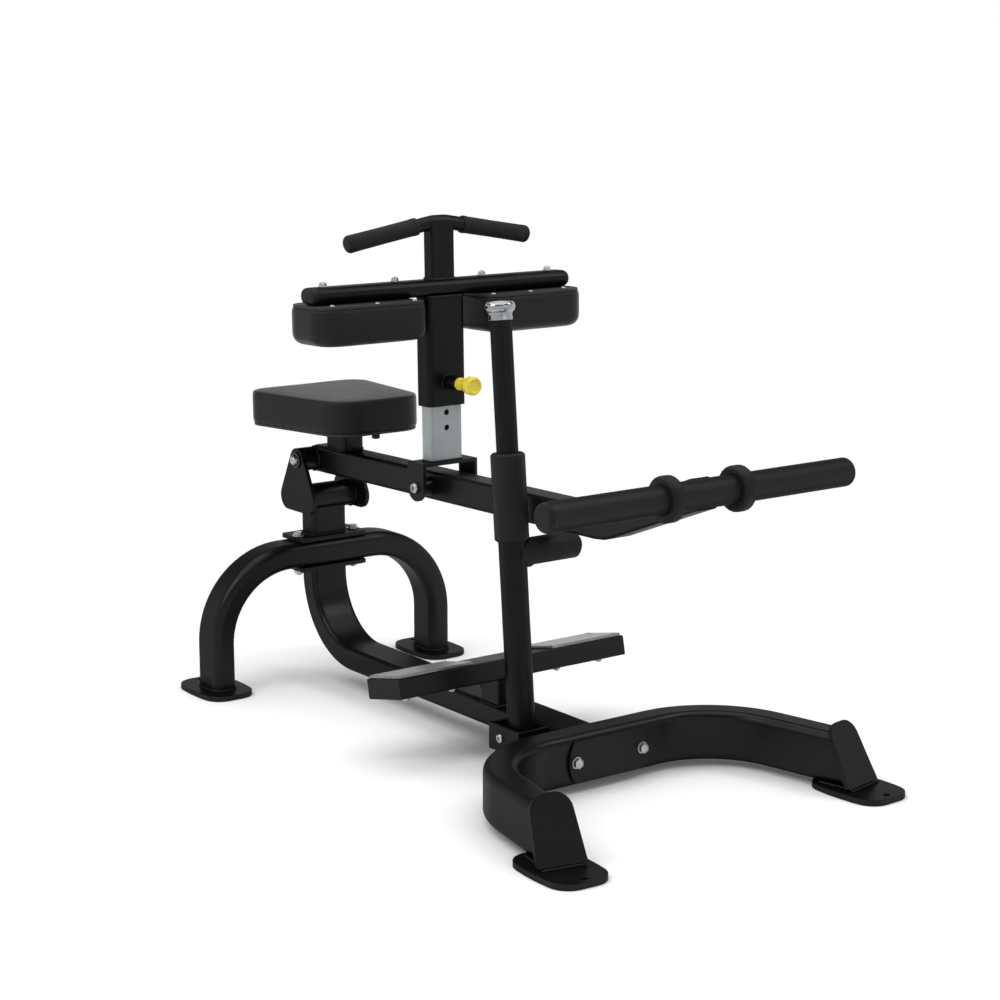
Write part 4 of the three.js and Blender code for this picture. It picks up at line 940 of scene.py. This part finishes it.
def padded_piece(name, part, place, body, node):
    """Swells the filling with a short cloth simulation, then smooths the cover."""
    sizes = settings().cushions
    pinned_height, coarser, frames = 0.004, 1.6, 20
    scene = bpy.context.scene
    obj = added(name, shell(name, *part))
    clean(obj.data)
    bpy.context.view_layer.objects.active = obj
    modify(obj, "voxels", "REMESH", mode="VOXEL", voxel_size=sizes.voxel * 1)
    apply_modifiers(obj)
    rest = [v.co.copy() for v in obj.data.vertices]
    normals = [v.normal.copy() for v in obj.data.vertices]
    group = obj.vertex_groups.new(name="board side")
    group.add([i for i, co in enumerate(rest) if co.z < pinned_height], 1.0, "REPLACE")
    cloth = obj.modifiers.new("cover", "CLOTH")
    cloth.settings.vertex_group_mass = "board side"
    cloth.settings.use_pressure = True
    cloth.settings.uniform_pressure_force = sizes.pressure
    cloth.settings.effector_weights.gravity = 0
    cloth.settings.tension_stiffness = 30
    cloth.settings.compression_stiffness = 30
    cloth.settings.bending_stiffness = 6
    cloth.settings.quality = 5
    cloth.collision_settings.use_collision = False
    cloth.collision_settings.use_self_collision = False
    for moment in range(1, frames + 1):
        scene.frame_set(moment)
    apply_modifiers(obj)
    scene.frame_set(1)
    even_swelling(obj.data, rest, normals, sizes.travel, sizes.swelling)
    modify(obj, "even", "SMOOTH", factor=0.5, iterations=1)
    modify(obj, "even outline", "SMOOTH", factor=0.5, iterations=4, use_z=False)
    modify(obj, "finer", "SUBSURF", levels=1, render_levels=1)
    apply_modifiers(obj)
    obj.data.transform(place)
    for face in obj.data.polygons:
        face.use_smooth = True
    settle(obj, "vinyl", body, [node])


def even_swelling(mesh, rest, normals, travel, kept, rounds=24):
    """Caps how far the cover swells outward and spreads it evenly, so that no creases stay."""
    moves = []
    for vertex, start, normal in zip(mesh.vertices, rest, normals):
        moves.append(normal * min(max((vertex.co - start).dot(normal), 0.0), travel))
    beside = [[] for _ in rest]
    for a, b in (tuple(edge.vertices) for edge in mesh.edges):
        beside[a].append(b)
        beside[b].append(a)
    for _ in range(rounds):
        moves = [
            (moves[i] + sum((moves[j] for j in near), Vector())) / (len(near) + 1)
            for i, near in enumerate(beside)
        ]
    for vertex, start, move in zip(mesh.vertices, rest, moves):
        vertex.co = start + move * kept
        vertex.co.z = max(vertex.co.z, 0.0)


def apply_modifiers(obj):
    bpy.context.view_layer.update()
    graph = bpy.context.evaluated_depsgraph_get()
    made = bpy.data.meshes.new_from_object(obj.evaluated_get(graph), depsgraph=graph)
    obj.modifiers.clear()
    old = obj.data
    obj.data = made
    made.name = obj.name
    bpy.data.meshes.remove(old)


def pad_outline(margin=0.0, steps=12):
    sizes = settings().cushions
    half = sizes.pad_depth / 2
    inner = sizes.pad_inner + sizes.pad_inner_corner
    outer = sizes.pad_outer - sizes.pad_outer_corner
    large, small = sizes.pad_outer_corner, sizes.pad_inner_corner
    return around([
        (outer, half - large, large - margin), (inner, half - small, small - margin),
        (inner, small - half, small - margin), (outer, large - half, large - margin),
    ], steps)


def seat_outline(margin=0.0, steps=12):
    sizes = settings().cushions
    large, small = sizes.seat_front_corner, sizes.seat_rear_corner
    rear, front = sizes.seat_rear - small, large - sizes.seat_front
    across_rear, across_front = sizes.seat_rear_half - small, sizes.seat_front_half - large
    return around([
        (across_rear, rear, small - margin), (-across_rear, rear, small - margin),
        (-across_front, front, large - margin), (across_front, front, large - margin),
    ], steps)


def front_leg_x(distance):
    """Where a front leg's middle line lies at a distance from the arch."""
    sizes = settings().sizes
    turn = math.pi / 2 - sizes.front_splay
    corner = sizes.front_straight + sizes.front_bend * math.tan(turn / 2)
    return corner + (distance - sizes.front_distance) * math.tan(sizes.front_splay)


def frame_levels(sizes):
    """Heights of the flanges' outer faces over and under the arch, and of the front tube's middle."""
    gap = GAP * MM
    over = sizes.arch_top + gap + sizes.flange_thickness
    under = sizes.arch_top - sizes.arch_thickness - gap - sizes.flange_thickness
    return over, under, sizes.floor_plate + gap + sizes.front_height / 2


# Studio


def seen_white(tree):
    """1 for rays from the camera and for what gloss and glass show."""
    names = ("Is Camera Ray", "Is Glossy Ray", "Is Transmission Ray")
    camera, glossy, through = [tree.node("ShaderNodeLightPath", output=name) for name in names]
    return camera.most(glossy).most(through)


def sky(strength):
    """Even light from all round, which shows as white with a dark ceiling in gloss."""
    world = bpy.data.worlds.new("sky")
    world.use_nodes = True
    world.node_tree.nodes.clear()
    tree = Tree(world.node_tree)
    seen = seen_white(tree)
    lit = tree.node("ShaderNodeBackground", {}, {"Color": WHITE, "Strength": strength})
    toward = tree.node("ShaderNodeTexCoord", {}, {}, output="Generated")
    height = tree.node("ShaderNodeSeparateXYZ", {}, {"Vector": toward}, output="Z")
    ceiling = tree.blend(height.ramp(0.22, 0.6), WHITE, (0.04, 0.04, 0.04, 1))
    shown = tree.node("ShaderNodeBackground", {}, {"Color": ceiling, "Strength": 1.0})
    both = tree.node("ShaderNodeMixShader", {}, {0: seen, 1: lit, 2: shown})
    tree.node("ShaderNodeOutputWorld", {}, {"Surface": both})
    return world


def floor_finish(stage, tone):
    """Plain white floor that keeps the lamps' shadow near the machine, darkened there by a painted soft
    shadow from ambient occlusion.
    """
    finish = Finish("floor")
    tree = finish.tree
    seen = seen_white(tree)
    away = tree.node("ShaderNodeVectorMath", {"operation": "LENGTH"}, {0: finish.place}, output="Value")
    far = away.ramp(stage.floor_radius * stage.fade_start, stage.floor_radius)
    # Painted shadow: ambient occlusion darkens the floor's colour near the machine.
    painted_soft_shadow = tree.node("ShaderNodeAmbientOcclusion", {"samples": 6}, {"Distance": stage.painted_shadow_reach}, output="AO")
    shaded = tree.tinted(tone, painted_soft_shadow ** stage.painted_shadow_power)
    plain = tree.node("ShaderNodeBsdfDiffuse", {}, {"Color": shaded})
    glow = tree.node("ShaderNodeEmission", {}, {"Color": WHITE, "Strength": 1.0})
    kept = tree.node("ShaderNodeMixShader", {}, {0: far.most(stage.floor_light), 1: plain, 2: glow})
    return finish.cover(tree.node("ShaderNodeMixShader", {}, {0: seen, 1: plain, 2: kept}))


# Operators


class CALF_OT_finishes(bpy.types.Operator):
    """Makes the materials of all finishes"""

    bl_idname = "calf.finishes"
    bl_label = "Finishes"

    def execute(self, context):
        tones = context.scene.calf_raise.colours
        powder_coat("black_paint", tones.black_paint, 0.3, 0.38, 0.185)
        # The same powder coat, darker and less glossy: a painted shade copy for the posts, beam, handle and
        # catch.
        powder_coat("shaded_post_paint", tones.shaded_post_paint, 0.3, 0.38, 0.125)
        powder_coat("horn_paint", tones.horn_paint, 0.56, 0.64, 0.24)
        leatherette("vinyl", tones.vinyl)
        moulded_rubber("rubber", tones.rubber)
        foam("grip_rubber", tones.grip)
        plain_plastic("nylon", tones.nylon, 0.45, 0.6)
        stained_board("board", tones.board)
        grey_plating("plated_steel", tones.plated)
        plated("zinc", tones.zinc, 0.3, (60.0, 60.0, 60.0), 0.1)
        plated("chrome", tones.chrome, 0.07, (40.0, 40.0, 200.0), 0.02)
        ribbed_aluminium("tread_metal", tones.tread)
        plain_plastic("yellow_plastic", tones.yellow, 0.3, 0.42)
        plated("spring_steel", tones.wire, 0.35, (300.0, 300.0, 300.0), 0.1)
        return {"FINISHED"}


class CALF_OT_stage(bpy.types.Operator):
    """Makes the camera, lamps, sky and floor"""

    bl_idname = "calf.stage"
    bl_label = "Studio"

    def execute(self, context):
        stage, scene = context.scene.calf_raise.stage, context.scene
        scene.view_settings.view_transform = "Standard"
        view = bpy.data.cameras.new("camera")
        view.lens, view.sensor_width, view.clip_end = stage.lens, 36, 200
        camera = added("camera", view)
        camera.location = stage.eye
        camera.rotation_euler = (math.pi / 2 - stage.pitch, 0, -stage.turn)
        scene.camera = camera
        scene.world = sky(stage.sky)
        # Name, watts, size, place and what the lamp points at
        for name, watts, size, place, target in (
            ("overhead", stage.overhead, 3.8, (-0.2, 0.2, 2.8), (0, 0, 0.3)),
            ("key", stage.key, 1.6, (-2.5, 0.5, 2.5), (0, 0.1, 0.4)),
            ("fill", stage.fill, 2.0, (0.2, -3.2, 1.6), (0, 0, 0.4)),
            ("streak", stage.streak, 0.9, (1.75, -1.1, 2.6), (0, 0, 0.5)),
        ):
            lamp = bpy.data.lights.new(name, "AREA")
            lamp.shape, lamp.size, lamp.energy = "SQUARE", size, watts
            holder = added(name, lamp)
            holder.location = place
            holder.rotation_euler = (Vector(target) - Vector(place)).to_track_quat("-Z", "Y").to_euler()
        side, corner, depth = 60, 0.5, 0.02
        floor = added("floor", shell("floor", *prism(rectangle(side, side, corner, 4), -depth, 0.0)))
        floor.data.materials.append(floor_finish(stage, scene.calf_raise.colours.floor))
        return {"FINISHED"}


class CALF_OT_bent_tubes(bpy.types.Operator):
    """Makes the rear arch, the base tube and the front frame as smoothly bent tubes"""

    bl_idname = "calf.bent_tubes"
    bl_label = "Bent tubes"

    def execute(self, context):
        s = context.scene.calf_raise.sizes
        _, head, middle = frame_levels(s)
        gap, plate_corner = GAP * MM, 8 * MM
        rail, foot = s.arch_top - s.arch_thickness / 2, s.floor_plate + gap
        corners = mirrored((s.arch_half_span, 0, foot), (s.arch_half_span, 0, rail))
        outline = rectangle(s.arch_depth, s.arch_thickness, s.arch_corner)
        arch = swept(bent_line(corners, [s.arch_bend, s.arch_bend]), Vector((0, -1, 0)), outline, MACHINE)
        piece("bent_rear_arch", arch, "black_paint", "frame", ["rear_arch"])

        floor_line = s.base_clear + s.base_thickness / 2
        end = -(s.front_distance - s.front_depth / 2 - gap - s.flange_thickness) - s.base_set_back
        corners = [Vector((0, 0, head)), Vector((0, 0, floor_line)), Vector((0, end, floor_line))]
        stand = MACHINE @ shift(0, s.base_set_back, 0)
        outline = rectangle(s.base_width, s.base_thickness, s.base_corner)
        tube = swept(bent_line(corners, [s.base_bend]), Vector((1, 0, 0)), outline, stand)
        flange = rectangle(s.flange_length, s.flange_depth, plate_corner)
        flange = prism(flange, head, head + s.flange_thickness, stand)
        end_plate = rectangle(2 * (s.front_bolt + 15 * MM), s.end_plate_height, plate_corner)
        end_plate = prism(end_plate, 0, s.flange_thickness, stand @ axis_minus_y(0, end, middle))
        part = joined(tube, flange, end_plate)
        piece("bent_base_tube", part, "black_paint", "frame", ["base_tube"], soft_edge=0.8)

        reach = s.front_reach + 20 * MM
        corners = mirrored(*((front_leg_x(at), -at, middle) for at in (reach, s.front_distance)))
        outline = rectangle(s.front_height, s.front_depth, s.front_corner)
        tube = swept(bent_line(corners, [s.front_bend, s.front_bend]), Vector((0, 0, -1)), outline, MACHINE)
        work = bmesh.new()
        work.from_mesh(shell("front", *tube))
        for _, side in SIDES:
            turn = spin(side * s.front_splay, "Z") @ spin(-s.front_slant, "X")
            point = MACHINE @ Vector((side * front_leg_x(s.front_reach), -s.front_reach, s.floor_plate))
            near = [v for v in work.verts if v.co.x * side > 0]
            faces = {f for v in near for f in v.link_faces}
            edges = {e for v in near for e in v.link_edges}
            cut = bmesh.ops.bisect_plane(
                work, geom=[*near, *edges, *faces], plane_co=point, plane_no=turn @ Vector((0, -1, 0)),
                clear_outer=True,
            )
            rim = [e for e in cut["geom_cut"] if isinstance(e, bmesh.types.BMEdge)]
            bmesh.ops.edgeloop_fill(work, edges=rim)
        part = ([v.co.copy() for v in work.verts], [[v.index for v in f.verts] for f in work.faces])
        work.free()
        piece("bent_front_frame", part, "black_paint", "frame", ["front_frame"])
        return {"FINISHED"}


class CALF_OT_frame_plates(bpy.types.Operator):
    """Paints the straight steel parts of the frame and rounds their edges"""

    bl_idname = "calf.frame_plates"
    bl_label = "Frame plates"

    def execute(self, context):
        pairs = ("rear_foot_plate", "front_foot_plate", "pivot_bracket", "front_cap_plate")
        plates = [f"{pair}_{name}" for pair in pairs for name, _ in SIDES]
        plates += ["front_clamp_plate", "pivot_post", "foot_bar", "foot_bar_riser", "catch_socket"]
        dress([*plates, "cross_tube"], "black_paint", 0.9)
        return {"FINISHED"}


class CALF_OT_lever(bpy.types.Operator):
    """Paints the lever with its hub and horns"""

    bl_idname = "calf.lever"
    bl_label = "Lever and horns"

    def execute(self, context):
        dress(["lever_arm", "pivot_hub", "seat_post"], "black_paint", 0.5)
        dress(["horn_bar"], "horn_paint", 0.5)
        dress(["pivot_bush"], "nylon", 0)
        dress([f"horn_{part}_{name}" for part in ("collar", "end_cap") for name, _ in SIDES], "rubber", 0.8)
        return {"FINISHED"}


class CALF_OT_knee_carriage(bpy.types.Operator):
    """Paints the saddle, posts, sleeve, beam and handle"""

    bl_idname = "calf.knee_carriage"
    bl_label = "Knee carriage"

    def execute(self, context):
        dress(["sleeve", "knee_beam", "upper_post", "handle_bar"], "shaded_post_paint", 0.6)
        dress(["saddle"], "black_paint", 0)
        dress(["pin_housing"], "black_paint", 0.8)
        dress(["inner_post"], "plated_steel", 0.5)
        dress(["sleeve_liner"], "nylon", 0)
        dress(["beam_end_cap_left", "beam_end_cap_right"], "rubber", 0)
        dress(["pin_spring"], "spring_steel", 0)
        return {"FINISHED"}


class CALF_OT_catch(bpy.types.Operator):
    """Paints the catch and makes its metal cap"""

    bl_idname = "calf.catch"
    bl_label = "Catch"

    def execute(self, context):
        m = context.scene.calf_raise.metal
        dress(["catch_tube", "catch_handle"], "shaded_post_paint", 0.5)
        dress(["catch_sleeve", "catch_peg"], "rubber", 0.8)
        neck, wide, tall = m.cap_neck / MM, m.cap_radius / MM, m.cap_height / MM
        groove, flare = neck * 0.965, neck * 1.02
        profile = [(0.01, 0), (neck * 0.95, 0), (neck, 0.6), (neck, tall * 0.2), (groove, tall * 0.24),
                   (groove, tall * 0.29), (neck, tall * 0.33), (flare, tall * 0.42)]
        for t in (k / 7 for k in range(1, 8)):
            radius = flare + (wide - flare) * math.sin(t * math.pi / 2)
            profile.append((radius, tall * (0.42 + 0.3 * t ** 1.4)))
        profile += rounded_end(wide, tall * 0.72, 7, tall * 0.25, 10)
        profile += [(wide * 0.45, tall * 0.99), (0.01, tall)]
        cap = placed(turned(profile, 72), CATCH @ shift(0, 0, m.cap_level))
        piece("metal_cap", cap, "chrome", "catch", ["catch_cap"])
        return {"FINISHED"}


class CALF_OT_pull_knob(bpy.types.Operator):
    """Makes the yellow pull knob with its steel pin"""

    bl_idname = "calf.pull_knob"
    bl_label = "Pull knob"

    def execute(self, context):
        m = context.scene.calf_raise.metal
        low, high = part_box("pull_pin")
        place = ROCKER @ axis_minus_y(0, -(SLEEVE_DEPTH / 2 + GAP) * MM, PIN_LEVEL * MM)
        halfway, slack = 30 * MM, 4 * MM
        if abs((place @ Vector((0, 0, halfway))).z - (low.z + high.z) / 2) > slack:
            raise RuntimeError("the pull knob isn't level with the CAD pin")
        root, neck, head = 34.3, m.knob_neck / MM, m.knob_radius / MM
        throat = neck + 1.4
        profile = [(0.01, 0), (neck + 1.6, 0), (neck + 2.4, 0.8), (neck + 2.4, 6), (neck + 1.8, 6.8),
                   (neck, 7.4), (neck, 11), (neck + 0.5, 13), (throat, 14.5)]
        for t in (k / 10 for k in range(1, 11)):
            profile.append((throat + (head - throat) * (0.5 - 0.5 * math.cos(math.pi * t)), 14.5 + 22 * t))
        profile += [(head, 40)] + rounded_end(head, 42, 5, 6, 8)
        profile += [(head * 0.62, 47), (head * 0.55, 46.4), (0.01, 46.2)]
        knob = placed(turned([(radius, root + z) for radius, z in profile], 64), place)
        piece("knob", knob, "yellow_plastic", "pull_pin", ["pull_pin"])
        pin = turned([(4.0, -5.8), (5.0, -4.6), (5.0, root + 1)], 32)
        piece("pin", placed(pin, place), "zinc", "pull_pin", ["pull_pin"])
        return {"FINISHED"}


class CALF_OT_grips(bpy.types.Operator):
    """Makes the foam grips on the handle bar"""

    bl_idname = "calf.grips"
    bl_label = "Grips"

    def execute(self, context):
        m = context.scene.calf_raise.metal
        radius, long = m.grip_radius / MM, m.grip_length / MM
        slope = math.atan2(HANDLE_DROP, HANDLE_HALF - HANDLE_STRAIGHT)
        profile = [(13.2, 6.3 - long), (radius - 1.2, 6.3 - long), (radius, 8.4 - long), (radius, 14 - long),
                   (radius - 0.5, 18 - long), (radius - 0.7, -long / 2), (radius - 0.3, -14)]
        profile += rounded_end(radius, -0.7, 7, 7, 8, first=0) + [(0.01, 6.3)]
        for name, side in SIDES:
            place = ROCKER @ moved(side * HANDLE_HALF, 0, HANDLE_END) @ outward(side)
            place = place @ spin(slope, "Y") @ spin(math.pi / 2, "Y")
            grip = placed(turned(profile, 56), place)
            piece(f"foam_grip_{name}", grip, "grip_rubber", "carriage", [f"grip_{name}"])
        return {"FINISHED"}


class CALF_OT_seat(bpy.types.Operator):
    """Makes the seat cushion on its board"""

    bl_idname = "calf.seat"
    bl_label = "Seat"

    def execute(self, context):
        s = context.scene.calf_raise.cushions
        low = SEAT_BOARD_LOW * MM
        board = prism(seat_outline(s.board_margin), low, low + s.board, LEVER)
        piece("ply_seat_board", board, "board", "lever", ["seat_board"], soft_edge=0.7)
        filling = cushion_part(seat_outline(s.shrink), s.seat_thickness - s.shrink, top_edge=5 * MM)
        place = LEVER @ shift(0, 0, low + s.board + GAP * MM)
        padded_piece("seat_pad", filling, place, "lever", "seat_cushion")
        return {"FINISHED"}


class CALF_OT_knee_pads(bpy.types.Operator):
    """Makes both knee pads on their boards"""

    bl_idname = "calf.knee_pads"
    bl_label = "Knee pads"

    def execute(self, context):
        s = context.scene.calf_raise.cushions
        top = PAD_BOARD_TOP * MM
        low = top - s.board - GAP * MM
        filling = cushion_part(pad_outline(s.shrink), s.pad_thickness - s.shrink, top_edge=19 * MM)
        for name, side in SIDES:
            board = prism(pad_outline(s.board_margin), top - s.board, top, ROCKER @ outward(side))
            piece(f"ply_pad_board_{name}", board, "board", "carriage", [f"pad_board_{name}"], soft_edge=0.8)
            place = ROCKER @ shift(0, 0, low) @ outward(side) @ UPSIDE_DOWN
            padded_piece(f"padded_knee_{name}", filling, place, "carriage", f"knee_pad_{name}")
        return {"FINISHED"}


class CALF_OT_treads(bpy.types.Operator):
    """Finishes the aluminium treads and puts in their screws"""

    bl_idname = "calf.treads"
    bl_label = "Treads"

    def execute(self, context):
        dress(["tread_plate_left", "tread_plate_right"], "tread_metal", 0.7)
        places = [
            FOOT_BAR @ moved(side * across, deep, TREAD_TOP) for _, side in SIDES for across in (92, 237)
            for deep in (14, 87.5)
        ]
        bolt_row("tread_screws", button_bolt(4.2, 1.3, 1.5), places, "frame")
        return {"FINISHED"}


class CALF_OT_bolts(bpy.types.Operator):
    """Makes the bolts, washers and nuts"""

    bl_idname = "calf.bolts"
    bl_label = "Bolts"

    def execute(self, context):
        s, m = context.scene.calf_raise.sizes, context.scene.calf_raise.metal
        hex_radius, washer, small = m.hex_radius / MM, m.washer_radius / MM, m.small_head / MM
        over, under, middle = frame_levels(s)
        face = -(s.front_distance + s.front_depth / 2) - (GAP + CLAMP_PLATE) * MM
        rear = -(s.front_distance - s.front_depth / 2) + GAP * MM + s.flange_thickness
        nut = lock_nut(9.5, 8.0, washer=12.0, thread=5)
        rear_head = hex_bolt(9.5, 6.0, grip=70, washer=12.0, washer_height=1.8, shank=6)
        front_head = hex_bolt(hex_radius, 7.5, grip=78, washer=washer, washer_height=1.2, shank=6)
        for name, side in SIDES:
            x = side * s.flange_bolt
            head = placed(rear_head, MACHINE @ shift(x, 0, over))
            foot = placed(nut, MACHINE @ shift(x, 0, under) @ UPSIDE_DOWN)
            body = joined(head, foot)
            piece(f"rear_bolt_{name}", body, "zinc", "frame", [f"flange_bolt_{name}"], soft_edge=0.35)
            x = side * s.front_bolt
            head = placed(front_head, MACHINE @ axis_minus_y(x, face, middle))
            foot = placed(nut, MACHINE @ shift(x, rear, middle) @ BACKWARD)
            body = joined(head, foot)
            piece(f"crossbar_bolt_{name}", body, "zinc", "frame", [f"front_bolt_{name}"], soft_edge=0.35)

        ends, rings, heads = [], [], []
        for _, side in SIDES:
            place = shift(*PIVOT) @ axis_x(side * BRACKET_FACE * MM, 0, 0, side)
            rings.append(placed(turned(SPACER_RING, 44), place))
            ends += [placed(turned(DOME_NUT, 44), place), placed(rod(10, -66, 0), place)]
            place = ROCKER @ axis_x(side * EAR_FACE * MM, 0, 0, side)
            heads.append(placed(button_bolt(10.0, 6.5, 4.6, grip=61, shank=8), place))
        piece("pivot_pin", joined(*ends), "zinc", "frame", ["pivot_bolt"])
        piece("pivot_washers", joined(*rings), "nylon", "frame", soft_edge=0.3)
        piece("saddle_pin", joined(*heads), "zinc", "rocker", ["saddle_bolt"])

        low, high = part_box("catch_bolt")
        head_left = low.x + 5 * MM
        place = axis_x(head_left, (low.y + high.y) / 2, (low.z + high.z) / 2, -1)
        body = placed(joined(button_bolt(8.0, 4.6, 3.2), rod(6, -63.5, 0, 28)), place)
        piece("catch_pin", body, "zinc", "frame", ["catch_bolt"])

        places = [ROCKER @ moved(side * across, 2, BEAM_TOP) for _, side in SIDES for across in (95, 245)]
        bolt = lock_nut(small, 6.2, washer=8.0, thread=3.2, washer_height=1.4)
        bolt_row("beam_bolts", bolt, places, "carriage", soft_edge=0.25)

        spots = ((86, -46), (167, -50), (252, -38), (86, 46), (167, 50), (252, 38))
        places = [
            ROCKER @ moved(side * across, deep, PAD_BOARD_TOP) for _, side in SIDES for across, deep in spots
        ]
        bolt_row("pad_board_bolts", button_bolt(5.0, 2.4, 1.8), places, "carriage")

        spots = ((-4, -192), (-62, 28), (62, 28))
        places = [LEVER @ moved(across, deep, SEAT_BOARD_LOW) @ UPSIDE_DOWN for across, deep in spots]
        bolt = hex_bolt(7.8, 9.5, grip=3.0, washer=7.9, washer_height=1.0, shank=3.0)
        bolt_row("seat_bolts", bolt, places, "lever", "black_paint", soft_edge=0.25)

        places = [
            FOOT_BAR @ moved(side * across, 37, 0) @ UPSIDE_DOWN for _, side in SIDES for across in (116, 214)
        ]
        bolt = lock_nut(small, 5.5, washer=8.6, thread=3)
        bolt_row("foot_bar_nuts", bolt, places, "frame", soft_edge=0.25)

        places = [ROCKER @ moved(-20, SLEEVE_DEPTH / 2, up + DECK_TOP) @ BACKWARD for up in (112, 126)]
        bolt_row("sleeve_screws", button_bolt(5.0, 3.4, 2.0), places, "carriage")
        return {"FINISHED"}


class CALF_OT_welds(bpy.types.Operator):
    """Runs weld beads round the joints between steel parts"""

    bl_idname = "calf.welds"
    bl_label = "Welds"

    def execute(self, context):
        s = context.scene.calf_raise.sizes
        w = s.weld
        over, under, _ = frame_levels(s)
        beads = []
        for _, side in SIDES:
            place = MACHINE @ shift(side * s.arch_half_span, 0, s.floor_plate + 2 * GAP * MM)
            place = place @ spin(math.pi / 2, "Z")
            beads.append(box_bead(s.arch_depth, s.arch_thickness, s.arch_corner, 5, w, place))
        end = -(s.front_distance - s.front_depth / 2 - GAP * MM - s.flange_thickness)
        places = [MACHINE @ shift(0, s.base_set_back, level) for level in (over, under)]
        places.append(MACHINE @ axis_minus_y(0, end, s.base_clear + s.base_thickness / 2))
        beads += [box_bead(s.base_width, s.base_thickness, s.base_corner, 4, w, place) for place in places]
        tube_ring, tube_end, tube_level = 26, 56.4 * MM, 359 * MM
        for _, side in SIDES:
            place = MACHINE @ axis_x(side * tube_end, 0, tube_level)
            beads.append(bead(circle(tube_ring, 32), w, place=place))
        riser_width, riser_depth, riser_reach = 80 * MM, 52 * MM, 603 * MM
        riser = MACHINE @ shift(0, -riser_reach, s.base_clear + s.base_thickness + 2 * GAP * MM)
        beads.append(box_bead(riser_width, riser_depth, 6 * MM, 3, w, riser))
        slope = spin(-s.front_slant, "X")
        half, up = s.front_depth / 2, s.front_height / math.cos(s.front_slant)
        for _, side in SIDES:
            foot = Vector((side * front_leg_x(s.front_reach), -s.front_reach, s.floor_plate))
            turn = MACHINE @ shift(*foot) @ spin(side * s.front_splay, "Z")
            runs = [[(x, 0.006, 0.001), (x, 0.062, 0.001)] for x in (-half - 0.001, half + 0.001)]
            runs.append([(-0.038, -0.0095, 0.001), (0.038, -0.0095, 0.001)])
            beads += [bead(run, w, closed=False, place=turn) for run in runs]
            runs = [[(x, 0.0015, 0.004), (x, 0.0015, up - 0.006)] for x in (-half, half)]
            beads += [bead(run, w, closed=False, place=turn @ slope) for run in runs]
        weld_piece("frame_welds", beads, "frame")

        post_width, post_depth, post_reach = 52 * MM, 62 * MM, 76
        root = LEVER @ moved(0, -post_reach, LEVER_HEIGHT / 2 + GAP + 0.05)
        beads = [box_bead(post_width, post_depth, 13 * MM, 4, w, root)]
        horn_reach, horn_level = 1116, 82.5
        horn = LEVER @ moved(0, -horn_reach, horn_level)
        for _, side in SIDES:
            x = side * LEVER_SIDE * MM
            hub = [(x, -y, z) for y, z in arc_points(0, 0, 23 * MM, -math.pi / 2, math.pi / 2, 16)]
            ring = [(x, y, z) for y, z in arc_points(0, 0, 24.4 * MM, -0.35 * math.pi, 0.29 * math.pi, 16)]
            beads += [bead(hub, w, closed=False, place=LEVER), bead(ring, w, closed=False, place=horn)]
        weld_piece("lever_welds", beads, "lever")

        deck = ROCKER @ moved(0, 0, DECK_TOP - 0.05)
        weld_piece("saddle_welds", [box_bead(70 * MM, 32 * MM, 6 * MM, 4, w * 0.8, deck)], "rocker")

        housing = ROCKER @ axis_minus_y(0, -22.6 * MM, PIN_LEVEL * MM)
        weld_piece("carriage_welds", [
            box_bead(82 * MM, SLEEVE_DEPTH * MM, 11 * MM, 4, w, ROCKER @ moved(0, 0, SLEEVE_TOP)),
            box_bead(50 * MM, 30 * MM, 6 * MM, 4, w, ROCKER @ moved(0, 0, SLEEVE_TOP + 30.5)),
            bead(circle(13.2, 24), w * 0.8, place=housing),
        ], "carriage")
        return {"FINISHED"}


class CALF_PT_machine(bpy.types.Panel):
    """Lists the operators that build the machine"""

    bl_label = "Calf raise machine"
    bl_idname = "CALF_PT_machine"
    bl_space_type = "VIEW_3D"
    bl_region_type = "UI"
    bl_category = "Calf raise"

    def draw(self, context):
        for maker in MAKERS:
            self.layout.operator(maker.bl_idname, text=maker.bl_label)


MAKERS = (
    CALF_OT_finishes, CALF_OT_stage, CALF_OT_bent_tubes, CALF_OT_frame_plates, CALF_OT_lever,
    CALF_OT_knee_carriage, CALF_OT_catch, CALF_OT_pull_knob, CALF_OT_grips, CALF_OT_seat,
    CALF_OT_knee_pads, CALF_OT_treads, CALF_OT_bolts, CALF_OT_welds,
)
CLASSES = (FrameSizes, CushionSizes, MetalSizes, Colours, StageSizes, Settings, *MAKERS, CALF_PT_machine)


def register():
    for made in CLASSES:
        bpy.utils.register_class(made)
    bpy.types.Scene.calf_raise = bpy.props.PointerProperty(type=Settings)


def unregister():
    del bpy.types.Scene.calf_raise
    for made in reversed(CLASSES):
        bpy.utils.unregister_class(made)


def main():
    register()
    for maker in MAKERS:
        group, name = maker.bl_idname.split(".")
        getattr(getattr(bpy.ops, group), name)()


if __name__ == "__main__":
    main()
